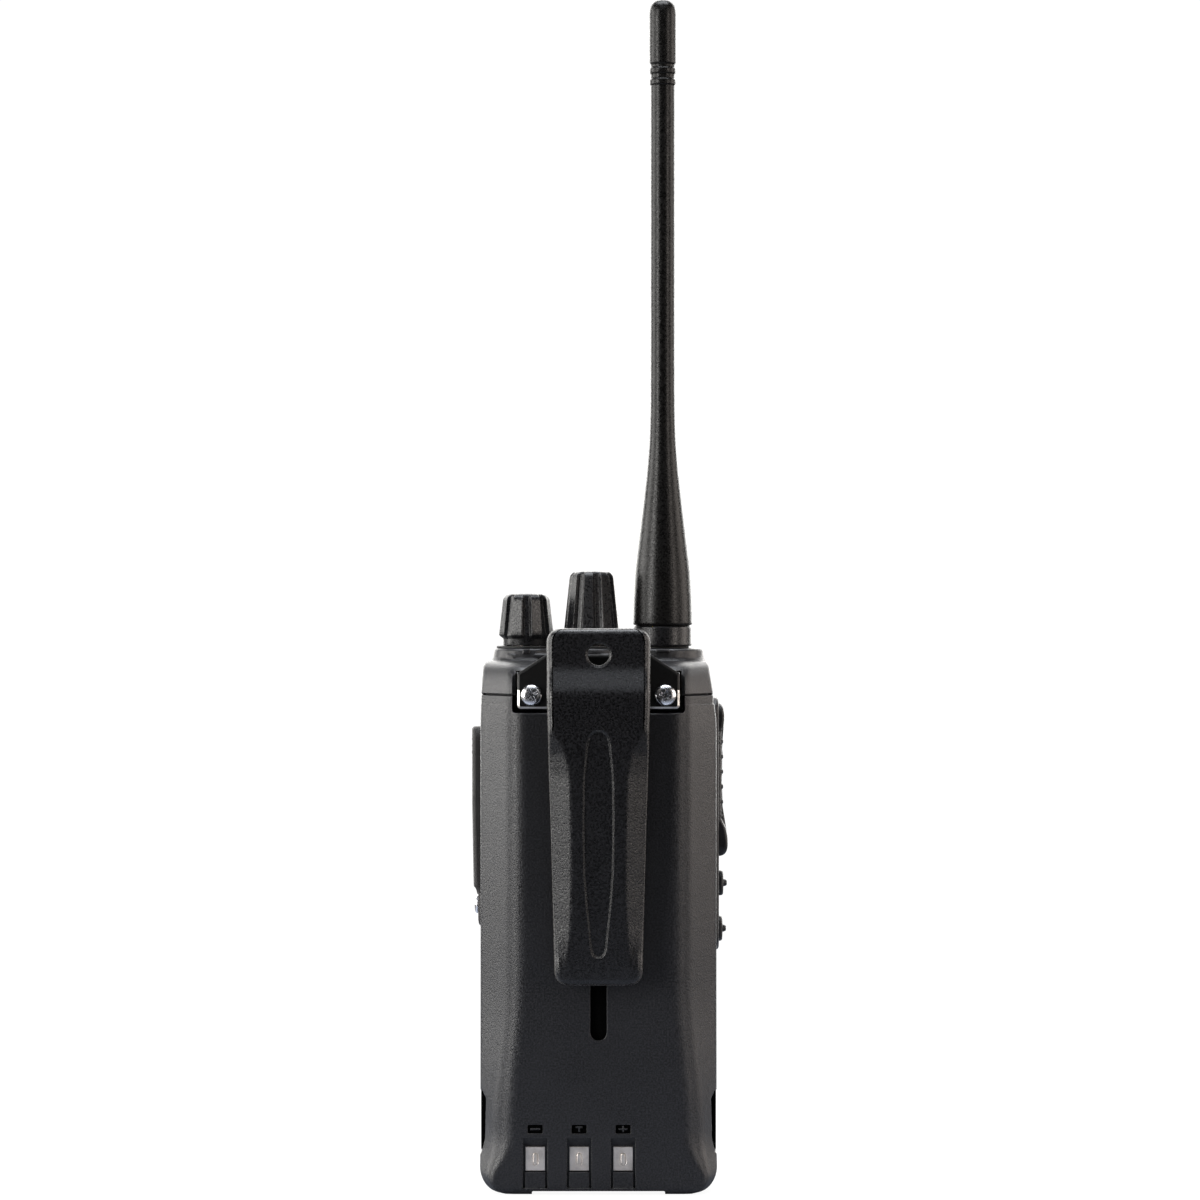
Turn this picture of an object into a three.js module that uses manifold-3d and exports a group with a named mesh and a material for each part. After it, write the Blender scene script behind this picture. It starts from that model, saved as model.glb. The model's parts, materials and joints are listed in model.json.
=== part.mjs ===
// Handheld two-way radio: front case, die-cast chassis, slide-on battery pack, spring belt clip,
// two rotary knobs, press-to-talk key, two side keys and a screw-on whip antenna.
// Millimetres, +Z up. The front (loudspeaker) faces -Y and the belt clip +Y. The origin is on the
// flat base, under the middle of the body. Seen from the front, the press-to-talk key is on the left (-X).
import * as THREE from "three";
import { mergeVertices } from "three/addons/utils/BufferGeometryUtils.js";
import Module from "manifold-3d";

const wasm = await Module();
wasm.setup();

// ---------------------------------------------------------------- driving dimensions (mm)
const HALF_WIDTH = 27.1; // body, centre to side
const FRONT_Y = -18; // loudspeaker face
const REAR_Y = 16; // back of the battery pack
const BODY_TOP = 121.3; // shoulder of the case
const DECK_TOP = 124; // raised bosses round the knobs and antenna
const FACET = { sideY: 7, backX: 19.5 }; // slanted rear corners, from the side to the back
const SEAM_Y = 1.5; // the front case ends here
const SEAM_Z = 113.7; // the case wraps over the battery above this height
const GAP = 0.3; // between neighbouring pieces
const WALL = 2; // moulded wall
const BASE_RADIUS = 6.1; // lower corners, seen from the back

const KNOB_Y = -6.3;
const VOLUME_X = 16.8;
const CHANNEL_X = 1.5;
const ANTENNA_X = -14.9;
const ANTENNA_Y = -5.5;
const ANTENNA_TIP = 274.6;
const BUSH_HOLE = 3.6; // radius of the holes for the two rotary controls

const PIN_Y = 19.6; // belt clip pivot
const PIN_Z = 117.4;
const PIN_RADIUS = 1.2;
const EAR_RADIUS = 2.3; // of the bracket, round the pin
const PLATE = { front: 14, rear: 15.2, bottom: 110.5, side: 18.5, shoulder: 118.6, top: 122.9, topHalf: 12 };
const SCREW = { x: 15.2, z: 113.7 };

const KEY_Y = -7; // press-to-talk and side keys
const PTT = { bottom: 75.6, top: 111.3, half: 3.9, flat: -28.6, upper: -29.3, lower: -30.1 };
const SIDE_KEYS = [
  { name: "upper", z: 69.3, outer: -29.1 },
  { name: "lower", z: 58.7, outer: -28.9 },
];
const KEY_HALF_Z = 2.9;
const KEY_HALF_Y = 2.5;
const PAD_X = -27.9; // raised pad round the side keys

const JACK = {
  y: -5.6, bottom: 59.4, top: 105.8, half: 4.5, outer: 29.4, screw: 64.4, step: 68.2, socket: [69.4, 97],
};
const LENS = { x: 9, y: -14 }; // status light in the top edge
const SPEAKER = { z: 88, radius: 18 };
const GRILLE = { slots: 9, pitch: 3.7, radius: 16.8 };
const MICROPHONE_Z = 40;

const CHARGE = { z: 8.15, halfZ: 2.75, half: 2.25, floor: 14.6 };
const CHARGE_CONTACTS = [
  { name: "minus", x: 14.4 },
  { name: "sense", x: 4.4 },
  { name: "plus", x: -5.6 },
];

// ---------------------------------------------------------------- solids
function solidOf(geometry) {
  const plain = geometry.index ? geometry.toNonIndexed() : geometry.clone();
  const bare = new THREE.BufferGeometry().setAttribute("position", plain.getAttribute("position"));
  const merged = mergeVertices(bare, 1e-4);
  const corners = merged.index.array;
  const kept = [];
  for (let i = 0; i < corners.length; i += 3) {
    const [a, b, c] = [corners[i], corners[i + 1], corners[i + 2]];
    if (a !== b && b !== c && a !== c) kept.push(a, b, c);
  }
  const build = (list) =>
    new wasm.Manifold(
      new wasm.Mesh({
        numProp: 3,
        vertProperties: merged.attributes.position.array,
        triVerts: new Uint32Array(list),
      }),
    );
  const made = build(kept);
  if (made.volume() > 0) return made;
  const turned = [];
  for (let i = 0; i < kept.length; i += 3) turned.push(kept[i], kept[i + 2], kept[i + 1]);
  return build(turned);
}

function geometryOf(solid) {
  const mesh = solid.getMesh();
  const positions = new Float32Array(mesh.numVert * 3);
  for (let i = 0; i < mesh.numVert; i += 1) {
    positions.set(mesh.vertProperties.subarray(i * mesh.numProp, i * mesh.numProp + 3), i * 3);
  }
  const geometry = new THREE.BufferGeometry();
  geometry.setAttribute("position", new THREE.BufferAttribute(positions, 3));
  geometry.setIndex(new THREE.BufferAttribute(mesh.triVerts, 1));
  geometry.computeVertexNormals();
  return geometry;
}

const join = (...solids) => solids.reduce((a, b) => a.add(b));
const cut = (solid, ...tools) => tools.reduce((a, b) => a.subtract(b), solid);
const common = (...solids) => solids.reduce((a, b) => a.intersect(b));

// The directions that an outline's own x, y and depth take for each extrusion axis.
const BASIS = {
  X: [new THREE.Vector3(0, 1, 0), new THREE.Vector3(0, 0, 1), new THREE.Vector3(1, 0, 0)],
  Y: [new THREE.Vector3(1, 0, 0), new THREE.Vector3(0, 0, 1), new THREE.Vector3(0, -1, 0)],
  Z: [new THREE.Vector3(1, 0, 0), new THREE.Vector3(0, 1, 0), new THREE.Vector3(0, 0, 1)],
};

// An outline, in (Y, Z), (X, Z) or (X, Y), extruded along the X, Y or Z axis between two places.
function prism(shape, axis, from, to, curveSegments = 8) {
  const geometry = new THREE.ExtrudeGeometry(shape, { depth: to - from, bevelEnabled: false, curveSegments });
  geometry.applyMatrix4(new THREE.Matrix4().makeBasis(...BASIS[axis]));
  const shift = { X: [from, 0, 0], Y: [0, to, 0], Z: [0, 0, from] }[axis];
  return solidOf(geometry.translate(...shift));
}

function box(x0, x1, y0, y1, z0, z1) {
  const geometry = new THREE.BoxGeometry(x1 - x0, y1 - y0, z1 - z0);
  return solidOf(geometry.translate((x0 + x1) / 2, (y0 + y1) / 2, (z0 + z1) / 2));
}

// A round bar, or a cone frustum, along one axis; (u, v) are its centre's other two coordinates.
function rod(axis, u, v, from, to, radius, endRadius = radius, segments = 24) {
  const geometry = new THREE.CylinderGeometry(endRadius, radius, to - from, segments);
  const middle = (from + to) / 2;
  if (axis === "Z") geometry.rotateX(Math.PI / 2).translate(u, v, middle);
  if (axis === "Y") geometry.translate(u, middle, v);
  if (axis === "X") geometry.rotateZ(-Math.PI / 2).translate(middle, u, v);
  return solidOf(geometry);
}

// A turned piece about a vertical axis, from [radius, height] pairs that start and end on the axis.
function turned(profile, x, y, segments = 24) {
  const points = profile.map(([radius, height]) => new THREE.Vector2(radius, height));
  return solidOf(new THREE.LatheGeometry(points, segments).rotateX(Math.PI / 2).translate(x, y, 0));
}

const polygon = (points) => new THREE.Shape(points.map(([u, v]) => new THREE.Vector2(u, v)));

function roundedRectangle(u0, u1, v0, v1, radius) {
  const shape = new THREE.Shape();
  shape.moveTo(u0 + radius, v0);
  shape.lineTo(u1 - radius, v0);
  shape.absarc(u1 - radius, v0 + radius, radius, -Math.PI / 2, 0);
  shape.lineTo(u1, v1 - radius);
  shape.absarc(u1 - radius, v1 - radius, radius, 0, Math.PI / 2);
  shape.lineTo(u0 + radius, v1);
  shape.absarc(u0 + radius, v1 - radius, radius, Math.PI / 2, Math.PI);
  shape.lineTo(u0, v0 + radius);
  shape.absarc(u0 + radius, v0 + radius, radius, Math.PI, 1.5 * Math.PI);
  return shape;
}

// A closed skin through level rings of equally many [x, y] points, each with its own height.
function loft(rings) {
  const count = rings[0].points.length;
  const corner = (ring, i) => {
    const [x, y] = ring.points[i % count];
    return [x, y, ring.z];
  };
  const triangles = [];
  for (let level = 0; level + 1 < rings.length; level += 1) {
    const [low, high] = [rings[level], rings[level + 1]];
    for (let i = 0; i < count; i += 1) {
      triangles.push(corner(low, i), corner(low, i + 1), corner(high, i + 1));
      triangles.push(corner(low, i), corner(high, i + 1), corner(high, i));
    }
  }
  for (const [ring, upward] of [[rings[0], false], [rings.at(-1), true]]) {
    const flat = ring.points.map(([x, y]) => new THREE.Vector2(x, y));
    for (const [a, b, c] of THREE.ShapeUtils.triangulateShape(flat, [])) {
      triangles.push(...(upward ? [a, b, c] : [a, c, b]).map((i) => corner(ring, i)));
    }
  }
  const geometry = new THREE.BufferGeometry();
  geometry.setAttribute("position", new THREE.Float32BufferAttribute(triangles.flat(), 3));
  return solidOf(geometry);
}

// A coil of wire along X, Y or Z, between two angles in turns, with an optional leg at each end.
function coil(axis, centre, radius, wire, length, firstTurn, lastTurn, legs = []) {
  const points = [];
  const steps = Math.round((lastTurn - firstTurn) * 8);
  const [u, v, w] = BASIS[axis];
  for (let i = 0; i <= steps; i += 1) {
    const angle = 2 * Math.PI * THREE.MathUtils.lerp(firstTurn, lastTurn, i / steps);
    const along = (i / steps - 0.5) * length;
    points.push(
      new THREE.Vector3(...centre)
        .addScaledVector(u, radius * Math.cos(angle))
        .addScaledVector(v, radius * Math.sin(angle))
        .addScaledVector(w, along),
    );
  }
  if (legs[0]) points.unshift(new THREE.Vector3(...legs[0]));
  if (legs[1]) points.push(new THREE.Vector3(...legs[1]));
  const section = new THREE.Shape().absarc(0, 0, wire / 2, 0, 2 * Math.PI);
  const path = new THREE.CatmullRomCurve3(points, false, "centripetal");
  const options = { steps: points.length + 2, extrudePath: path, bevelEnabled: false, curveSegments: 3 };
  return solidOf(new THREE.ExtrudeGeometry(section, options));
}

// ---------------------------------------------------------------- materials and placing
const FINISHES = {
  case: { color: 0x2c2d30, roughness: 0.6, metalness: 0 },
  rubber: { color: 0x1b1b1c, roughness: 0.85, metalness: 0 },
  dark: { color: 0x141415, roughness: 0.5, metalness: 0 },
  alloy: { color: 0x8c8f92, roughness: 0.5, metalness: 1 },
  steel: { color: 0xc9ccd0, roughness: 0.3, metalness: 1 },
  blackSteel: { color: 0x0f0e0e, roughness: 0.4, metalness: 0.6 },
  nickel: { color: 0xa9a5a0, roughness: 0.35, metalness: 1 },
  gold: { color: 0xc9a24a, roughness: 0.3, metalness: 1 },
  board: { color: 0x1f5a34, roughness: 0.6, metalness: 0 },
  cell: { color: 0x2f5f9a, roughness: 0.4, metalness: 0 },
  cloth: { color: 0x0b0b0b, roughness: 0.95, metalness: 0 },
  lens: { color: 0xd8d8d0, roughness: 0.2, metalness: 0 },
};

function mesh(name, solid, finish, position = [0, 0, 0]) {
  const made = new THREE.Mesh(geometryOf(solid), new THREE.MeshStandardMaterial(FINISHES[finish]));
  made.name = name;
  made.position.set(...position);
  return made;
}

// ---------------------------------------------------------------- outer shape of the body
const TOP_HALF = 25.9; // half width at the shoulder

// Seen from above: soft front corners, and rear corners slanted between two rounded edges.
function planOutline(inset) {
  const half = HALF_WIDTH - inset;
  const [front, rear] = [FRONT_Y + inset, REAR_Y - inset];
  const slant = Math.atan2(HALF_WIDTH - FACET.backX, REAR_Y - FACET.sideY);
  const sideY = FACET.sideY - inset * Math.tan(slant / 2);
  const backX = FACET.backX - inset * Math.tan(Math.PI / 4 - slant / 2);
  const along = [-Math.sin(slant), Math.cos(slant)];
  const corner = (side) => [
    [side * half, sideY - 1],
    [side * half, sideY],
    [side * (half + along[0]), sideY + along[1]],
    [side * (backX - 1.8 * along[0]), rear - 1.8 * along[1]],
    [side * backX, rear],
    [side * (backX - 1.8), rear],
  ];
  const right = corner(1);
  const left = corner(-1).reverse();
  const shape = new THREE.Shape();
  shape.moveTo(-19, front);
  shape.lineTo(19, front);
  shape.quadraticCurveTo(half, front, half, front + 9);
  for (const points of [right, left]) {
    for (const [start, bend, end] of [points.slice(0, 3), points.slice(3)]) {
      shape.lineTo(...start);
      shape.quadraticCurveTo(...bend, ...end);
    }
  }
  shape.lineTo(-half, front + 9);
  shape.quadraticCurveTo(-half, front, -19, front);
  return shape;
}

// Seen from the back: round lower corners, sides that draw in to the shoulder.
function backOutline(inset) {
  const half = HALF_WIDTH - inset;
  const radius = BASE_RADIUS - inset;
  const top = BODY_TOP - inset;
  const topHalf = TOP_HALF - inset;
  const shape = new THREE.Shape();
  shape.moveTo(-half + radius, inset);
  shape.lineTo(half - radius, inset);
  shape.absarc(half - radius, inset + radius, radius, -Math.PI / 2, 0);
  shape.lineTo(half, 106);
  shape.lineTo(topHalf, top - 2.5);
  shape.quadraticCurveTo(topHalf, top, topHalf - 3, top);
  shape.lineTo(3 - topHalf, top);
  shape.quadraticCurveTo(-topHalf, top, -topHalf, top - 2.5);
  shape.lineTo(-half, 106);
  shape.lineTo(-half, inset + radius);
  shape.absarc(-half + radius, inset + radius, radius, Math.PI, 1.5 * Math.PI);
  return shape;
}

// Seen from the side: the back of the case slopes forward above the battery.
function sideOutline(inset) {
  const [front, rear] = [FRONT_Y + inset, REAR_Y - inset];
  const top = BODY_TOP - inset;
  const shape = new THREE.Shape();
  shape.moveTo(front + 1.5, inset);
  shape.lineTo(rear - 2, inset);
  shape.quadraticCurveTo(rear, inset, rear, inset + 2.5);
  shape.lineTo(rear, SEAM_Z - 0.1);
  shape.bezierCurveTo(rear - 0.4, SEAM_Z + 3.5, rear - 2.2, top, rear - 8, top);
  shape.lineTo(front + 3, top);
  shape.quadraticCurveTo(front, top, front, top - 3.5);
  shape.lineTo(front, inset + 1.5);
  shape.quadraticCurveTo(front, inset, front + 1.5, inset);
  return shape;
}

function envelope(inset) {
  const far = 140;
  return common(
    prism(planOutline(inset), "Z", -1, far, 6),
    prism(backOutline(inset), "Y", -far, far, 3),
    prism(sideOutline(inset), "X", -far, far, 3),
  );
}

// The belt-clip plate, seen from the back, grown or shrunk by a margin.
function plateOutline(margin) {
  const { bottom, side, shoulder, top, topHalf } = PLATE;
  const half = side + margin;
  return polygon([
    [-half, bottom - margin],
    [half, bottom - margin],
    [half, shoulder + margin / 2],
    [topHalf + margin / 2, top + margin],
    [-topHalf - margin / 2, top + margin],
    [-half, shoulder + margin / 2],
  ]);
}

// ---------------------------------------------------------------- front case
function frontCase() {
  const keep = join(
    box(-40, 40, -40, SEAM_Y, -1, 140),
    box(-40, 40, SEAM_Y - 1, 40, SEAM_Z + GAP / 2, 140),
  );
  const bosses = [
    rod("Z", VOLUME_X, KNOB_Y, BODY_TOP - 1, DECK_TOP, 7.9, 7.4),
    rod("Z", CHANNEL_X, KNOB_Y, BODY_TOP - 1, DECK_TOP, 7.9, 7.4),
    rod("Z", ANTENNA_X, ANTENNA_Y, BODY_TOP - 1, DECK_TOP, 9.6, 9.3),
    prism(roundedRectangle(-21, 22, -12.5, 1.2, 3), "Z", BODY_TOP - 1, BODY_TOP + 1.6),
  ];
  const sidePad = prism(roundedRectangle(KEY_Y - 6, KEY_Y + 6, 53.8, 112.6, 3.5), "X", PAD_X, -20);
  const outer = join(common(envelope(0), keep), ...bosses, sidePad);

  const room = common(
    envelope(WALL),
    join(box(-40, 40, -40, SEAM_Y + 1, -1, 140), box(-40, 40, 0, 40, SEAM_Z + WALL, 140)),
  );
  const sideRoom = common(
    box(-HALF_WIDTH + WALL, -20, -40, SEAM_Y + 1, 20, 112),
    envelope(WALL),
  );
  const clipNotch = box(-18.9, 18.9, -0.9, 20, 100, 119.1);
  const platePocket = prism(plateOutline(0.5), "Y", PLATE.front - 0.4, 20);
  const grille = Array.from({ length: GRILLE.slots }, (_, i) => {
    const offset = (i - (GRILLE.slots - 1) / 2) * GRILLE.pitch;
    const half = Math.sqrt(GRILLE.radius ** 2 - offset ** 2);
    const z = SPEAKER.z + offset;
    return prism(roundedRectangle(-half, half, z - 0.9, z + 0.9, 0.88), "Y", FRONT_Y - 1, FRONT_Y + 5, 1);
  });
  const holes = [
    rod("Z", VOLUME_X, KNOB_Y, 110, 130, BUSH_HOLE),
    rod("Z", CHANNEL_X, KNOB_Y, 110, 130, BUSH_HOLE),
    rod("Z", ANTENNA_X, ANTENNA_Y, 110, 130, 3.5),
    rod("Z", LENS.x, LENS.y, 110, 130, 1.4, 1.4, 16),
    rod("Y", 0, MICROPHONE_Z, FRONT_Y - 1, FRONT_Y + 5, 0.8, 0.8, 12),
    prism(roundedRectangle(KEY_Y - PTT.half - GAP, KEY_Y + PTT.half + GAP, PTT.bottom - GAP,
      PTT.top + GAP, 2.8), "X", -40, -22),
    ...SIDE_KEYS.map(({ z }) => prism(roundedRectangle(KEY_Y - KEY_HALF_Y - GAP, KEY_Y + KEY_HALF_Y + GAP,
      z - KEY_HALF_Z - GAP, z + KEY_HALF_Z + GAP, 2), "X", -40, -22)),
    prism(roundedRectangle(JACK.y - 3, JACK.y + 3, JACK.socket[0], JACK.socket[1], 2), "X", 20, 40),
    rod("X", JACK.y, JACK.screw, 20, 40, 1.2, 1.2, 12),
    box(-6.5, 6.5, -9.8, -2.6, -1, 3),
  ];
  return cut(outer, room, sideRoom, clipNotch, platePocket, ...grille, ...holes);
}

// ---------------------------------------------------------------- chassis, boards and sound
const RAIL = { inner: 18.5, post: 19.7, lip: 21.6, lipY: 2.3, top: 3 };
const TAB_HEIGHTS = [20, 85]; // lower edge of each rail lip

function chassis() {
  const plate = common(
    prism(roundedRectangle(-24.6, 24.6, 2.5, SEAM_Z + 1.4, 4), "Y", -0.8, 1.2),
    envelope(WALL + GAP),
  );
  const block = box(-18.5, 18.5, -0.6, PLATE.front - 0.05, PLATE.bottom + 0.4, 118.8);
  const rails = [-1, 1].flatMap((side) =>
    TAB_HEIGHTS.flatMap((z) => {
      const post = [side * RAIL.inner, side * RAIL.post].sort((a, b) => a - b);
      const lip = [side * RAIL.inner, side * RAIL.lip].sort((a, b) => a - b);
      return [box(...post, 1, RAIL.top, z - 1, z + 10), box(...lip, RAIL.lipY, RAIL.top, z - 1, z + 10)];
    }),
  );
  const screwHoles = [-1, 1].map((side) =>
    rod("Y", side * SCREW.x, SCREW.z, 6, 20, 1.35, 1.35, 16));
  const latchNotch = box(-9.2, 9.2, -5, 5, 0, 6.2);
  const terminalWindow = box(-9, 9, -5, 5, 28, 36);
  return cut(join(plate, block, ...rails), ...screwHoles, latchNotch, terminalWindow);
}

function chassisGasket() {
  const outer = roundedRectangle(-24.4, 24.4, 6.8, 107.5, 4);
  outer.holes.push(roundedRectangle(-23.4, 23.4, 7.8, 106.5, 3));
  return prism(outer, "Y", -1.7, -0.9, 4);
}

function speaker() {
  const { z, radius } = SPEAKER;
  return cut(
    join(
      rod("Y", 0, z, -15.4, -13.8, radius),
      rod("Y", 0, z, -14, -11, radius * 0.55, radius - 1.4),
      rod("Y", 0, z, -11.2, -8.6, 9.5, 9.5, 24),
    ),
    rod("Y", 0, z, -16, -14.2, radius * 0.4, radius - 2),
  );
}

const microphoneBoot = () => cut(
  rod("Y", 0, MICROPHONE_Z, -15.9, -12.4, 4, 4, 20),
  rod("Y", 0, MICROPHONE_Z, -15.1, -12, 3.1, 3.1, 20),
  rod("Y", 0, MICROPHONE_Z, -17, -14, 0.8, 0.8, 12),
);

const statusLens = () => join(
  rod("Z", 0, 0, 116, BODY_TOP + 0.3, 1.2, 1.2, 16),
  rod("Z", 0, 0, 116, 117.4, 1.7, 1.7, 16),
);

// A rotary control: square body, threaded bush through the deck.
function rotaryBody() {
  return join(
    prism(roundedRectangle(-5.3, 5.3, -5, 5, 0.6), "Z", 110.4, 117.6, 2),
    rod("Z", 0, 0, 117.5, 126, 3.4),
  );
}

const rotaryNut = () => cut(
  rod("Z", 0, 0, DECK_TOP + 0.6, DECK_TOP + 1.9, 4.9, 4.9, 6),
  rod("Z", 0, 0, DECK_TOP, DECK_TOP + 3, 3.5),
);
const sealRing = (radius, hole) => cut(
  rod("Z", 0, 0, DECK_TOP, DECK_TOP + 0.5, radius),
  rod("Z", 0, 0, DECK_TOP - 1, DECK_TOP + 2, hole),
);

// ---------------------------------------------------------------- knobs
const FLUTES = 8;
const POINTS_PER_FLUTE = 6;
const KNOB_FOOT = DECK_TOP + 0.6;
const KNOB_WAIST = 5.45; // radius below the flutes

// Eight flat lobes with grooves between them; the share of a flute decides the depth of the groove.
function flutedRing(radius, depth, z, phase) {
  const count = FLUTES * POINTS_PER_FLUTE;
  const points = Array.from({ length: count }, (_, i) => {
    const groove = [1, 1, 0.6, 0, 0, 0.6][i % POINTS_PER_FLUTE];
    const angle = phase + (2 * Math.PI * (i - 0.5)) / count;
    const reach = radius - depth * groove;
    return [reach * Math.cos(angle), reach * Math.sin(angle)];
  });
  return { z, points };
}

function knob(radius, topRadius, top, phase) {
  const body = loft([
    flutedRing(KNOB_WAIST, 0, KNOB_FOOT, phase),
    flutedRing(KNOB_WAIST, 0, KNOB_FOOT + 1.6, phase),
    flutedRing(radius, 0.7, KNOB_FOOT + 2.5, phase),
    flutedRing(topRadius, 0.7, top - 1, phase),
    flutedRing(topRadius - 0.9, 0.4, top, phase),
  ]);
  const nutRoom = rod("Z", 0, 0, KNOB_FOOT - 1, KNOB_FOOT + 1.8, 5.2);
  const shaftHole = rod("Z", 0, 0, KNOB_FOOT - 1, top - 2.5, 3.1);
  return cut(body, nutRoom, shaftHole);
}

// A shaft with a flat along one side.
const rotaryShaft = (top) => cut(rod("Z", 0, 0, 126.1, top - 2.7, 3), box(1.9, 4, -4, 4, 127, top));

// ---------------------------------------------------------------- antenna
const TIP_RINGS = [254.6, 257.2]; // foot of each ring below the tip
const WHIP_FOOT = 129.4;
const WHIP_RADIUS = 2.8; // of its upper, parallel part
const PIN_CONTACT = 0.45; // radius of the plug's centre contact

function antennaWhip() {
  const rings = TIP_RINGS.flatMap((z) => [
    [WHIP_RADIUS, z], [3.07, z + 0.4], [3.07, z + 1.2], [WHIP_RADIUS, z + 1.6],
  ]);
  const sleeve = turned([
    [0, WHIP_FOOT], [6.75, WHIP_FOOT], [6.95, 129.9], [6.85, 135], [6.4, 142.2], [5.25, 151.4],
    [4.4, 158.4], [3.6, 165.4], [3.05, 172.4], [2.84, 179.4], [WHIP_RADIUS, 254.3], ...rings,
    [WHIP_RADIUS, 259.4], [3.14, 259.9], [3.14, ANTENNA_TIP - 3], [2.75, ANTENNA_TIP - 1.5],
    [1.6, ANTENNA_TIP - 0.4], [0, ANTENNA_TIP],
  ], 0, 0, 18);
  const plugHole = rod("Z", 0, 0, 128, 134, 2.3, 2.3, 16);
  const contactHole = rod("Z", 0, 0, 133.9, 137, PIN_CONTACT + 0.05, PIN_CONTACT + 0.05, 8);
  return cut(sleeve, plugHole, contactHole);
}

const antennaRing = () => cut(rod("Z", 0, 0, 124.6, 129.1, 6.7, 6.8), rod("Z", 0, 0, 123, 131, 4.3));

// A hexagonal sleeve that screws over the socket, a stem inside the whip, and a centre contact.
function antennaPlug() {
  const contact = (from, to) => rod("Z", 0, 0, from, to, PIN_CONTACT, PIN_CONTACT, 8);
  const sleeve = join(rod("Z", 0, 0, 125.6, 129.2, 4.1, 4.1, 6), rod("Z", 0, 0, 129, 133.7, 2.2));
  const bore = cut(rod("Z", 0, 0, 118, 128, 3.4), contact(118, 128));
  return cut(join(sleeve, contact(119, 136.6)), bore);
}

const antennaSocket = () => cut(
  join(rod("Z", 0, 0, 114, 118.8, 4.4, 4.4, 6), rod("Z", 0, 0, 118.7, 127.6, 3.1)),
  rod("Z", 0, 0, 118.5, 130, 0.7, 0.7, 12),
);

// ---------------------------------------------------------------- keys
function pttButton() {
  const { bottom, top, flat, upper, lower } = PTT;
  const inner = -25.4;
  const face = new THREE.Shape();
  face.moveTo(inner, bottom);
  face.lineTo(flat, bottom);
  face.quadraticCurveTo(lower, bottom + 0.6, lower, bottom + 3);
  face.quadraticCurveTo(lower, bottom + 6.6, flat, bottom + 8.6);
  face.lineTo(flat, top - 6.4);
  face.quadraticCurveTo(upper, top - 5.4, upper, top - 3.2);
  face.quadraticCurveTo(upper + 0.1, top - 0.4, flat + 0.6, top);
  face.lineTo(inner, top);
  const bar = prism(face, "Y", KEY_Y - PTT.half, KEY_Y + PTT.half, 5);
  const edges = [KEY_Y - PTT.half, KEY_Y + PTT.half];
  const plan = prism(roundedRectangle(...edges, bottom, top, 2.6), "X", -32, -20, 4);
  const flange = common(
    box(-24.8, -23.9, KEY_Y - 4.8, KEY_Y + 4.8, bottom - 1, top - 0.2),
    envelope(WALL + GAP),
  );
  const neck = box(-25.5, -24.6, KEY_Y - 3, KEY_Y + 3, bottom + 1, top - 2);
  const nubs = [-2.1, 0, 2.1].flatMap((dy) => Array.from({ length: 6 }, (_, i) =>
    rod("X", KEY_Y + dy, bottom + 9.2 + 3.5 * i, flat - 0.4, flat + 0.2, 0.35, 0.6, 6)));
  return join(common(bar, plan), flange, neck, ...nubs);
}

function sideKey({ outer }) {
  const outline = roundedRectangle(-KEY_HALF_Y, KEY_HALF_Y, -KEY_HALF_Z, KEY_HALF_Z, 1.8);
  const cap = prism(outline, "X", outer, -24.6, 4);
  const flange = box(-24.8, -24, -KEY_HALF_Y - 0.8, KEY_HALF_Y + 0.8, -KEY_HALF_Z - 0.7, KEY_HALF_Z + 0.7);
  const nub = rod("X", 0, 0, outer - 0.8, outer + 0.2, 0.5, 0.9, 12);
  return join(cap, flange, nub);
}

const tactSwitch = () => join(
  box(-21, -19.8, -2.2, 2.2, -2.2, 2.2),
  rod("X", 0, 0, -22.4, -20.9, 1, 1, 12),
);

// ---------------------------------------------------------------- accessory sockets
function jackCover() {
  const [inner, foot] = [HALF_WIDTH + 0.15, HALF_WIDTH + 0.9];
  const side = polygon([
    [inner, JACK.bottom], [foot - 0.3, JACK.bottom], [foot, JACK.bottom + 1.5], [foot, JACK.step - 0.6],
    [JACK.outer - 0.35, JACK.step + 0.6], [JACK.outer, 88], [JACK.outer, JACK.top - 1],
    [JACK.outer - 0.5, JACK.top], [inner, JACK.top],
  ]);
  const edges = [JACK.y - JACK.half, JACK.y + JACK.half];
  const plan = prism(roundedRectangle(...edges, JACK.bottom, JACK.top, 3), "X", 20, 32, 4);
  const [low, high] = JACK.socket;
  const plugOutline = roundedRectangle(JACK.y - 2.7, JACK.y + 2.7, low + 0.3, high - 0.3, 1.7);
  const plug = prism(plugOutline, "X", 25, inner + 0.2, 3);
  const screwHole = rod("X", JACK.y, JACK.screw, 20, 40, 1.4, 1.4, 16);
  const counterbore = rod("X", JACK.y, JACK.screw, foot - 0.1, 40, 2.4, 2.4, 16);
  return cut(join(common(prism(side, "Y", -30, 30), plan), plug), screwHole, counterbore);
}

function jackBlock() {
  const [low, high] = JACK.socket;
  const body = box(15, 24.5, JACK.y - 2.4, JACK.y + 2.2, low + 1, high - 1);
  const largeSocket = rod("X", JACK.y, high - 8, 17, 30, 1.8, 1.8, 16);
  const smallSocket = rod("X", JACK.y, low + 8, 17, 30, 1.3, 1.3, 16);
  return cut(body, largeSocket, smallSocket);
}

// A cross-recessed pan-head screw whose head rests on the plane y = 0 and points along +Y.
function panScrew(headRadius, headHeight, shankRadius, length) {
  const head = turned([[0, -0.01], [headRadius, -0.01], [headRadius, headHeight * 0.45],
    [headRadius * 0.7, headHeight * 0.9], [0, headHeight]], 0, 0);
  const crossFloor = headHeight * 0.4;
  const cross = join(box(-0.4, 0.4, -1.5, 1.5, crossFloor, 9), box(-1.5, 1.5, -0.4, 0.4, crossFloor, 9));
  return join(cut(head, cross), rod("Z", 0, 0, -length, 0, shankRadius, shankRadius, 16));
}

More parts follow.
